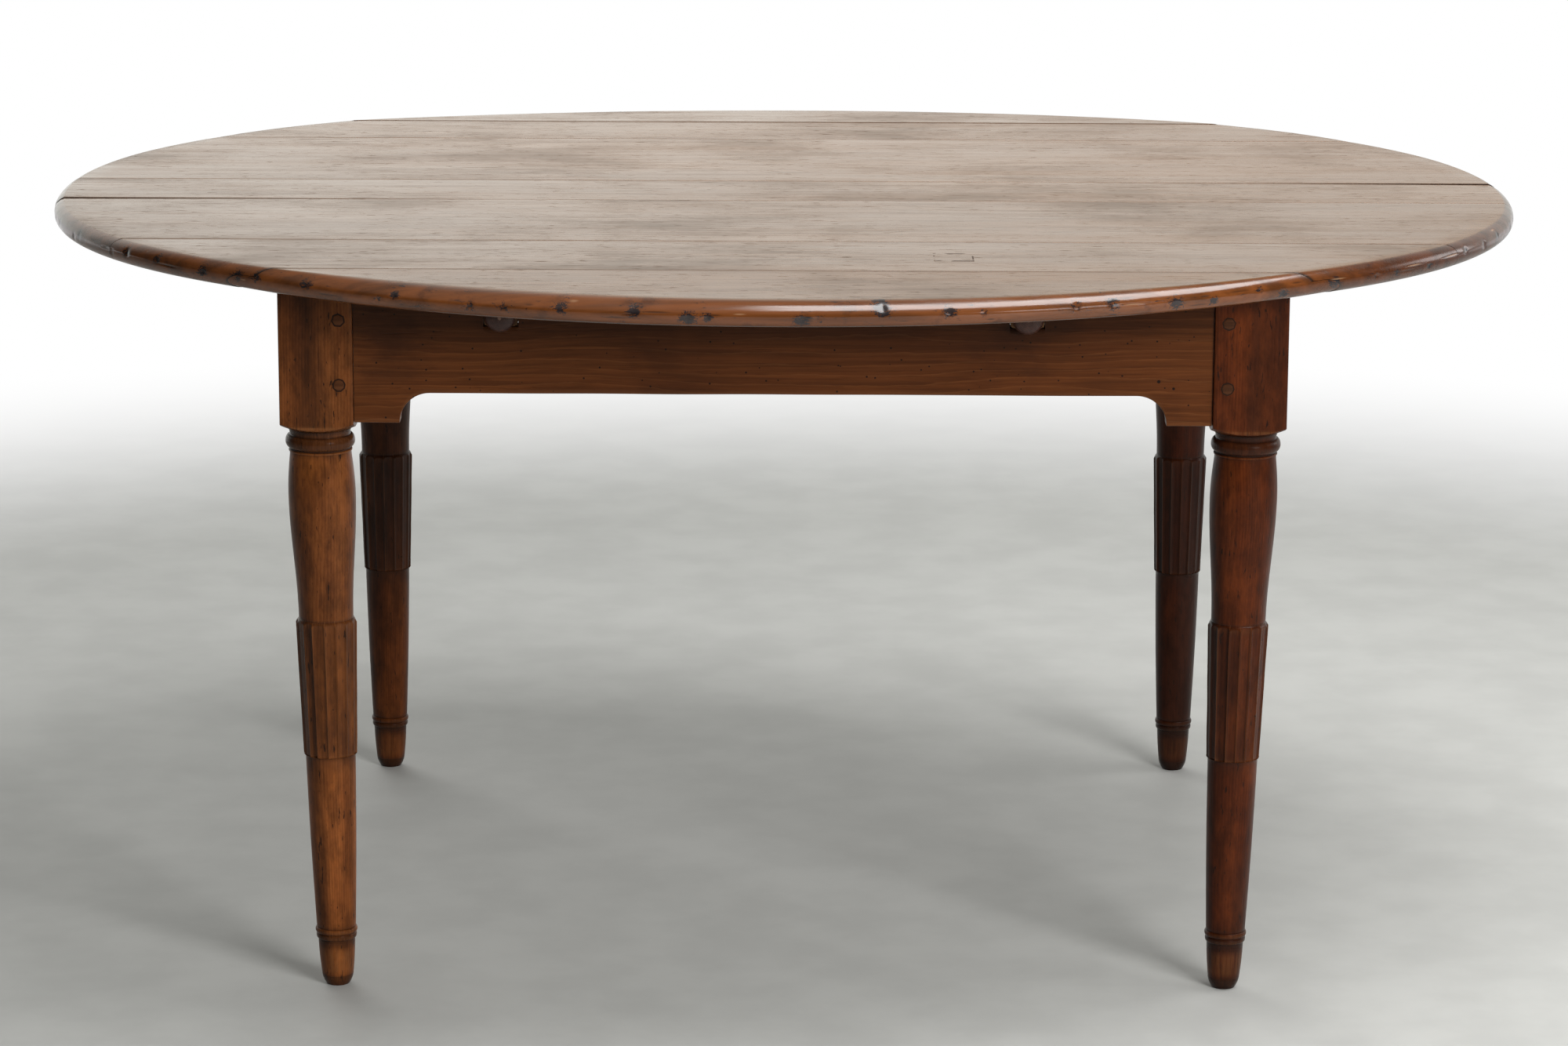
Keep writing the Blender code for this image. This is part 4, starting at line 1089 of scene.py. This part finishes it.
# %% Finishes of the frame
def leg_finish():
    tones = rgb(0.042, 0.0110, 0.0030), rgb(0.118, 0.0350, 0.0088), rgb(0.225, 0.0780, 0.0220)
    finish, wood, colour = new_wood("waxed_turned_legs", "Z", 110.0, tones, 0.12)
    patches = drawn(wood["place"], (7, 17, 17), 4.0, 0.6, shift=(5, 1, 3))
    glowing = blend(between(patches, 0.50, 0.70, 0.0, 0.6), colour, rgb(0.235, 0.072, 0.0150))
    # Painted light: the lower part of the left legs is lightened.
    pale = toned(glowing, painted("wear_and_painted_light"), rgb(1.8, 1.8, 1.7))
    rosy = toned(pale, painted("rosy"), rgb(0.54, 0.37, 0.30))
    # Painted shade: the back legs are darkened.
    back_shade = toned(rosy, painted("back_shade"), rgb(0.42, 0.38, 0.36))
    bands = between(drawn(wood["place"], (1.7, 27, 27), 3.0), 0.46, 0.66)
    blotch = most(bands, between(wood["blotch"], 0.52, 0.74))
    darkened = wash(back_shade, blotch, 0.62, rgb(0.024, 0.0075, 0.0035))
    mottle = between(drawn(wood["place"], (30, 75, 75), 4.0, 0.7), 0.3, 0.7, 0.66, 1.3)
    mottled = tinted(darkened, mottle)
    nicks = drawn(wood["place"], (70, 330, 330), 2.0)
    nicked = blend(between(nicks, 0.655, 0.70, 0.0, 0.85), mottled, rgb(0.010, 0.005, 0.003))
    grime = wash(nicked, painted("dirt"), 0.82, rgb(0.012, 0.006, 0.004))
    # Pale wear on edges and ridges.
    wear_and_painted_light = times(painted("wear"), between(wood["fibre"], 0.35, 0.6, 0.15, 0.75))
    edges = blend(wear_and_painted_light, grime, rgb(0.19, 0.072, 0.024))
    speck = blend(wood["hole"], edges, rgb(0.010, 0.005, 0.003))
    rough = less(polish(wood, 0.31, 0.45), times(painted("dirt"), 0.14))
    return wood_shader(finish, wood, speck, rough, 0.15)


def distance(place, centre):
    return vector("DISTANCE", place, centre)["Value"]


def spot(place, centre, radius):
    """1 within about a radius of a place, 0 outside it, with a soft edge."""
    return between(distance(place, centre), radius, 0.6 * radius)


def soft_spot(place, centre, radius):
    """A cloud round a place, fading to nothing at about its radius, its edge broken up by noise."""
    torn = times(drawn(place, (14, 30, 30), 4.0, 0.65), 1.6 * radius)
    return between(plus(distance(place, centre), torn), 1.6 * radius, 0.8 * radius)


def apron_finish(name, along):
    tones = rgb(0.066, 0.0185, 0.0045), rgb(0.095, 0.0280, 0.0070), rgb(0.124, 0.0390, 0.0100)
    finish, wood, colour = new_wood(name, along, 64.0, tones)
    pale = times(between(wood["rings"], 0.82, 1.0), 0.26)
    lined = blend(pale, colour, rgb(0.175, 0.066, 0.021))
    blotch = between(wood["blotch"], 0.50, 0.74)
    object_place = here()
    # Painted shadow: a soft dark cloud round the right knob, where the knob shades the apron.
    handled_and_knob_shadow = soft_spot(object_place, (0.235, -0.43, 0.690), 0.085)
    smoky = soft_spot(object_place, (-0.385, -0.43, 0.665), 0.070)
    # The dark wash holds the blotch stains, the dark patch at the left end and the painted knob shadow.
    darkened = wash(lined, most(blotch, handled_and_knob_shadow, smoky), 0.62, rgb(0.026, 0.0085, 0.004))
    edges = wash(darkened, painted("wear"), 0.4, rgb(0.15, 0.058, 0.020))
    cells = put("ShaderNodeTexVoronoi", {"Vector": wood["place"], "Scale": 98.0, "Randomness": 1.0})
    some = between(cloud(wood["place"], 23.0, 2.0), 0.40, 0.46)
    dots = times(between(cells.outputs["Distance"], 0.112, 0.080), some)
    first = spot(object_place, (0.3688, -0.4318, 0.6335), 0.0022)
    second = spot(object_place, (0.3835, -0.4318, 0.6265), 0.0018)
    holes = most(first, second, dots, wood["hole"])
    # Painted shadow: the apron is darkened towards its top, where the top's overhanging rim shades it.
    level = axes(object_place)[2]
    rim_shadowed = tinted(edges, between(level, 0.655, 0.690, 1.0, 0.58))
    speck = blend(holes, rim_shadowed, rgb(0.010, 0.005, 0.003))
    return wood_shader(finish, wood, speck, polish(wood, 0.36, 0.52), 0.16)


dress(leg_pieces, leg_finish())
dress(apron_pieces, apron_finish("waxed_long_aprons", "X"))
dress(cross_pieces, apron_finish("waxed_end_aprons", "Y"))

# %% [markdown]
# ## The top
# Seen low, the waxed top mirrors the pale room and looks grey-beige; its own colour is a soft brown. A low
# roughness mirrors the white wall behind, but part of the sheen is painted: the base turns grey towards the
# left and the back as painted sheen, lighter towards the back and darker to the right as painted light and
# shade, and warmer to the right as painted light. The rim keeps its deep orange-brown and its stains.

# %% Finish of the top
def frame_line(place, centre, half, width):
    """A square outline: 1 where the larger of |x|, |y| from the centre is about the half size. The two
    lines that run along X are three times as wide, as they are seen from low down."""
    parts = axes(place)
    across = count("ABSOLUTE", less(parts[0], centre[0]))
    along = count("ABSOLUTE", less(parts[1], centre[1]))
    squeezed = plus(times(along, 0.33), 0.67 * half)
    off = count("ABSOLUTE", less(most(across, squeezed), half))
    return between(off, width, width * 0.3)


def top_finish():
    tones = rgb(0.120, 0.056, 0.024), rgb(0.182, 0.090, 0.040), rgb(0.245, 0.125, 0.058)
    finish, wood, colour = new_wood("waxed_top_boards", "X", 90.0, tones, 0.32)
    warm = between(drawn(wood["place"], (1.7, 13, 13), 4.0), 0.46, 0.66)
    object_place = here()
    spots = axes(object_place)
    sideways = spots[0]
    # Painted light: besides its warm patches, the top turns warmer towards the right, where more light falls.
    warm_tone_and_right_light = plus(times(warm, 0.5), between(sideways, -0.5, 0.7, 0.0, 0.4))
    rosier = blend(warm_tone_and_right_light, colour, rgb(0.215, 0.098, 0.034))
    # Painted sheen: the top turns grey towards the left and the back, where it mirrors the white wall.
    leftward = between(sideways, 0.3, -0.6, 0.0, 0.45)
    backward = between(spots[1], 0.0, 0.5, 0.0, 0.40)
    with_painted_sheen = blend(most(leftward, backward), rosier, rgb(0.190, 0.100, 0.054))
    # Painted light and shade: the top is painted lighter towards the back and darker towards the right.
    lit = between(spots[1], -0.3, 0.5, 1.08, 1.45)
    painted_light_and_shade = times(between(sideways, -0.7, 0.7, 0.90, 0.68), lit)
    with_painted_light = tinted(with_painted_sheen, painted_light_and_shade)
    smudge = drawn(wood["place"], (4.2, 6.5, 6.5), 6.0, 0.64, 0.2)
    smudged = wash(with_painted_light, between(smudge, 0.46, 0.78), 0.50, rgb(0.068, 0.047, 0.030))
    dashes = drawn(wood["place"], (55, 420, 420), 2.0)
    lines = drawn(wood["place"], (11, 260, 260), 3.0, shift=(3, 1, 2))
    marks = most(between(dashes, 0.62, 0.72), between(lines, 0.66, 0.74))
    fleck = times(marks, between(smudge, 0.32, 0.56, 0.25, 1.0))
    greyed = wash(smudged, fleck, 0.65, rgb(0.050, 0.032, 0.020))
    broken = between(cloud(object_place, 90.0, 1.0), 0.42, 0.52)
    patch = times(frame_line(object_place, (0.167, -0.394), 0.019, 0.0012), broken)
    lined = wash(greyed, patch, 0.85, rgb(0.03, 0.018, 0.012))
    lively = between(wood["band"], 0.30, 0.66, 0.55, 1.25)
    orange = tinted(rgb(0.140, 0.040, 0.0085), lively)
    rim = blend(0.92, colour, orange)
    rubbing = cloud(wood["place"], 26.0, 4.0, 0.65)
    rim_rubbed = blend(between(rubbing, 0.53, 0.68, 0.0, 0.55), rim, rgb(0.045, 0.014, 0.005))
    rim_dark = toned(rim_rubbed, between(sideways, 0.42, 0.64), rgb(0.42, 0.40, 0.55))
    both = blend(painted("rim"), lined, rim_dark)
    below = wash(both, painted("under"), 0.8, rgb(0.075, 0.038, 0.018))
    seam = wash(below, painted("seam"), 0.8, rgb(0.028, 0.013, 0.007))
    ragged = times(drawn(object_place, (240, 240, 400), 4.0, 0.75, 0.8), 2.4)
    iron = between(plus(painted("iron"), ragged), 1.66, 1.92)
    split = drawn(object_place, (70, 70, 560), 3.0, 0.6, 0.4)
    splits = times(between(split, 0.63, 0.68), between(rubbing, 0.46, 0.56))
    stains = most(iron, times(splits, painted("rim")))
    rusted = wash(seam, stains, 0.92, rgb(0.010, 0.011, 0.014))
    nicked = blend(between(painted("knock"), 0.15, 0.9, 0.0, 0.7), rusted, rgb(0.030, 0.012, 0.006))
    chipped = blend(between(painted("knock"), -0.3, -0.9, 0.0, 0.6), nicked, rgb(0.34, 0.19, 0.10))
    speck = blend(wood["hole"], chipped, rgb(0.012, 0.007, 0.004))
    on_flat = less(1.0, painted("rim"))
    broken_sheen = most(fleck, patch, painted("seam"))
    dull = times(count("MINIMUM", broken_sheen, 1.0), on_flat)
    flat_rough = between(smudge, 0.36, 0.74, 0.17, 0.33)
    threads = between(wood["fibre"], 0.30, 0.70, 0.05, -0.02)
    ribbons = between(wood["band"], 0.32, 0.68, 0.05, -0.02)
    dulled = plus(flat_rough, threads, ribbons, times(dull, 0.55))
    rough = less(dulled, times(painted("rim"), 0.07))
    return wood_shader(finish, wood, speck, rough, 0.74, 0.10)


dress(top_pieces, top_finish())

# %% [markdown]
# ## Oak, knob and iron
# The slides, the rail and the pegs are plain oak that nobody polished. The knobs are dark and handled, with
# rings from the lathe. The hinges are forged iron with a little rust; their CAD shapes are right, so they
# only get a finish.

# %% Finishes of the small pieces
def oak_finish(name, along):
    tones = rgb(0.055, 0.025, 0.011), rgb(0.115, 0.056, 0.024), rgb(0.175, 0.092, 0.043)
    finish, wood, colour = new_wood(name, along, 40.0, tones)
    darkened = wash(colour, between(wood["blotch"], 0.5, 0.75), 0.5, rgb(0.035, 0.018, 0.010))
    return wood_shader(finish, wood, darkened, polish(wood, 0.50, 0.68), 0.16)


def peg_finish():
    tones = rgb(0.035, 0.012, 0.005), rgb(0.085, 0.029, 0.010), rgb(0.145, 0.052, 0.018)
    finish, wood, colour = new_wood("dark_oak_pegs", "X", 60.0, tones)
    # The ring mark paints shade into the gap round each peg head.
    ringed = wash(colour, painted("ring"), 0.9, rgb(0.010, 0.005, 0.003))
    return wood_shader(finish, wood, ringed, polish(wood, 0.38, 0.55), 0.16)


def knob_finish():
    tones = rgb(0.018, 0.007, 0.006), rgb(0.060, 0.024, 0.017), rgb(0.115, 0.048, 0.032)
    finish, wood, colour = new_wood("dark_turned_knobs", "Y", 60.0, tones)
    spread = painted("spread")
    lathe = count("SINE", times(spread, 52.0))
    lined = blend(between(lathe, 0.3, 1.0, 0.0, 0.45), colour, rgb(0.020, 0.009, 0.008))
    chip = between(plus(spread, times(wood["fibre"], 0.12)), 0.20, 0.14)
    pale = wash(lined, chip, 0.8, rgb(0.30, 0.17, 0.12))
    return wood_shader(finish, wood, pale, polish(wood, 0.26, 0.42), 0.35)


def iron_finish():
    finish = new_finish("forged_hinge_iron")
    place = here()
    rust = between(cloud(place, 60.0, 5.0, 0.65), 0.48, 0.66)
    hammered = cloud(place, 160.0, 3.0)
    colour = blend(rust, rgb(0.055, 0.052, 0.050), rgb(0.120, 0.045, 0.018))
    rough = between(rust, 0.0, 1.0, 0.42, 0.80)
    metal = between(rust, 0.0, 1.0, 0.9, 0.1)
    inputs = {"Base Color": colour, "Roughness": rough, "Metallic": metal}
    return surface(finish, hammered, 0.0006, 0.6, inputs)


dress(slide_pieces, oak_finish("dry_oak_slides", "Y"))
dress([rail], oak_finish("dry_oak_rail", "X"))
dress(peg_pieces + stop_pieces, peg_finish())
dress(knob_pieces, knob_finish())
hinge_pieces = [piece for node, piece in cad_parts.items() if node.startswith("hinge_")]
for piece in hinge_pieces:
    piece.data.materials.clear()
dress(hinge_pieces, iron_finish())

# %% [markdown]
# ## Floor, light and camera
# The table stands on a plain pale floor that fades to white. A soft lamp from the front right shows the
# turned shapes and a weaker one behind lights the back; neither is mirrored, so they leave no glare on the
# wax. A wide lamp above fills the top, two faint ones give small highlights, and the white sky behind gives
# the sheen.

# %% Floor
FLOOR_HALF = 12.0
FLOOR_LEVEL = -0.0002


def make_floor():
    """A flat square as a grid of two by two points, a hair below the feet."""
    side = np.array([-FLOOR_HALF, FLOOR_HALF])
    x, y = np.meshgrid(side, side)
    points = np.stack([x, y, np.full_like(x, FLOOR_LEVEL)], axis=-1).reshape(-1, 3)
    mesh = bpy.data.meshes.new("studio_floor")
    mesh.from_pydata(points.tolist(), [], [(0, 1, 3, 2)])
    floor = bpy.data.objects.new("studio_floor", mesh)
    bpy.context.scene.collection.objects.link(floor)
    floor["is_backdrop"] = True
    return floor


def floor_finish():
    """Grey floor; about two metres out the camera sees it turn white all round, and the table's sheen sees it
    turn white behind the table, while its shadows stay."""
    finish = new_finish("pale_floor")
    place = here()
    behind = between(axes(place)[1], 1.6, 2.8)
    around = between(vector("LENGTH", place)["Value"], 1.65, 2.9)
    speck = between(cloud(place, 9.0, 4.0), 0.3, 0.7, 0.94, 1.04)
    colour = tinted(rgb(0.50, 0.50, 0.48), speck)
    shader = put("ShaderNodeBsdfPrincipled", {"Base Color": colour, "Roughness": 0.6})
    white = put("ShaderNodeEmission", {"Color": rgb(1, 1, 1), "Strength": 1.0})
    path = put("ShaderNodeLightPath", {}).outputs
    seen = times(path["Is Camera Ray"], around)
    share = most(seen, times(path["Is Glossy Ray"], behind))
    mixed = put("ShaderNodeMixShader", {0: share, 1: shader.outputs[0], 2: white.outputs[0]})
    put("ShaderNodeOutputMaterial", {"Surface": mixed.outputs[0]})
    return finish


dress([make_floor()], floor_finish())

# %% Light
def add_lamp(name, place, target, size, power, mirrored=True):
    """A rectangular lamp aimed at a target. One that is not mirrored leaves no glare on the wood."""
    lamp = bpy.data.lights.new(name, "AREA")
    lamp.shape = "RECTANGLE"
    lamp.size, lamp.size_y = size
    lamp.energy = power
    holder = bpy.data.objects.new(name, lamp)
    aim = (Vector(target) - Vector(place)).to_track_quat("-Z", "Y").to_matrix().to_4x4()
    holder.matrix_world = Matrix.Translation(place) @ aim
    holder.visible_glossy = mirrored
    bpy.context.scene.collection.objects.link(holder)


def make_sky():
    """White behind and above, dim in front, so wood facing the camera keeps its depth of colour."""
    sky = bpy.data.worlds.new("studio_sky")
    sky.use_nodes = True
    open_tree(sky.node_tree)
    way = put("ShaderNodeTexCoord", {}).outputs["Generated"]
    parts = axes(way)
    behind = between(parts[1], 0.30, 0.80, 0.03, 1.12)
    level_wall = times(behind, between(parts[0], -0.15, 0.15, 1.0, 0.78))
    walled = times(level_wall, between(parts[2], 0.44, 0.72, 1.0, 0.25))
    above = between(parts[2], 0.45, 0.95, 0.0, 0.25)
    level = most(walled, above)
    seen = put("ShaderNodeLightPath", {}).outputs["Is Camera Ray"]
    strength = most(level, seen)
    tint = blend(seen, rgb(0.98, 1.0, 0.95), rgb(1, 1, 1))
    shine = put("ShaderNodeBackground", {"Color": tint, "Strength": strength})
    put("ShaderNodeOutputWorld", {"Surface": shine.outputs[0]})
    bpy.context.scene.world = sky


make_sky()
add_lamp("front_lamp", (2.6, -4.0, 2.2), (0, -0.2, 0.45), (1.8, 1.8), 190, False)
add_lamp("back_lamp", (-2.4, 4.2, 2.0), (0, 0.2, 0.45), (2.2, 2.2), 80, False)
add_lamp("sheen_lamp", (2.6, -4.0, 2.0), (0, -0.2, 0.45), (1.4, 1.4), 18)
add_lamp("overhead_lamp", (0.95, -0.2, 2.9), (0.95, 0, 0.7), (2.0, 1.5), 66)
add_lamp("side_lamp", (3.4, 0.9, 1.5), (0.3, 0, 0.6), (1.2, 1.2), 14)
print("lamps and their watts:", [(lamp.name, lamp.energy) for lamp in bpy.data.lights])

# %% [markdown]
# The camera stands more than five metres away and a little above the top, looking down by about thirteen
# degrees. Its place, lens and tilt were found by fitting the outlines of the solids to the photograph.

# %% Camera
CAMERA_PLACE = (-0.00049, -5.30600, 1.64638)
PITCH = 0.233054
YAW = -0.000371
ROLL = 0.004446
FOCAL_PIXELS = 6463.02
IMAGE_WIDTH = 2000


def make_camera():
    """Axes of the view from yaw, pitch and roll, put into the camera's matrix as columns."""
    up = Vector((0, 0, 1))
    level_right = Vector((math.cos(YAW), math.sin(YAW), 0))
    ahead = Vector((-math.sin(YAW), math.cos(YAW), 0))
    forward = math.cos(PITCH) * ahead - math.sin(PITCH) * up
    upward = math.sin(PITCH) * ahead + math.cos(PITCH) * up
    right = math.cos(ROLL) * level_right + math.sin(ROLL) * upward
    down = math.sin(ROLL) * level_right - math.cos(ROLL) * upward
    lens = bpy.data.cameras.new("camera")
    lens.sensor_width = 36.0
    lens.lens = FOCAL_PIXELS / IMAGE_WIDTH * lens.sensor_width
    camera = bpy.data.objects.new("camera", lens)
    columns = Matrix((right, -down, -forward)).transposed().to_4x4()
    camera.matrix_world = Matrix.Translation(CAMERA_PLACE) @ columns
    bpy.context.scene.collection.objects.link(camera)
    bpy.context.scene.camera = camera
    return camera


camera = make_camera()
bpy.context.scene.view_settings.view_transform = "Standard"
print("camera lens", round(camera.data.lens, 2), "mm at", rounded(camera.location))

# %% [markdown]
# ## The size
# The box round the dressed table. The dressed table may not outgrow its CAD model.

# %% Print the box
low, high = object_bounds()
print("visual box from", rounded(low), "to", rounded(high))
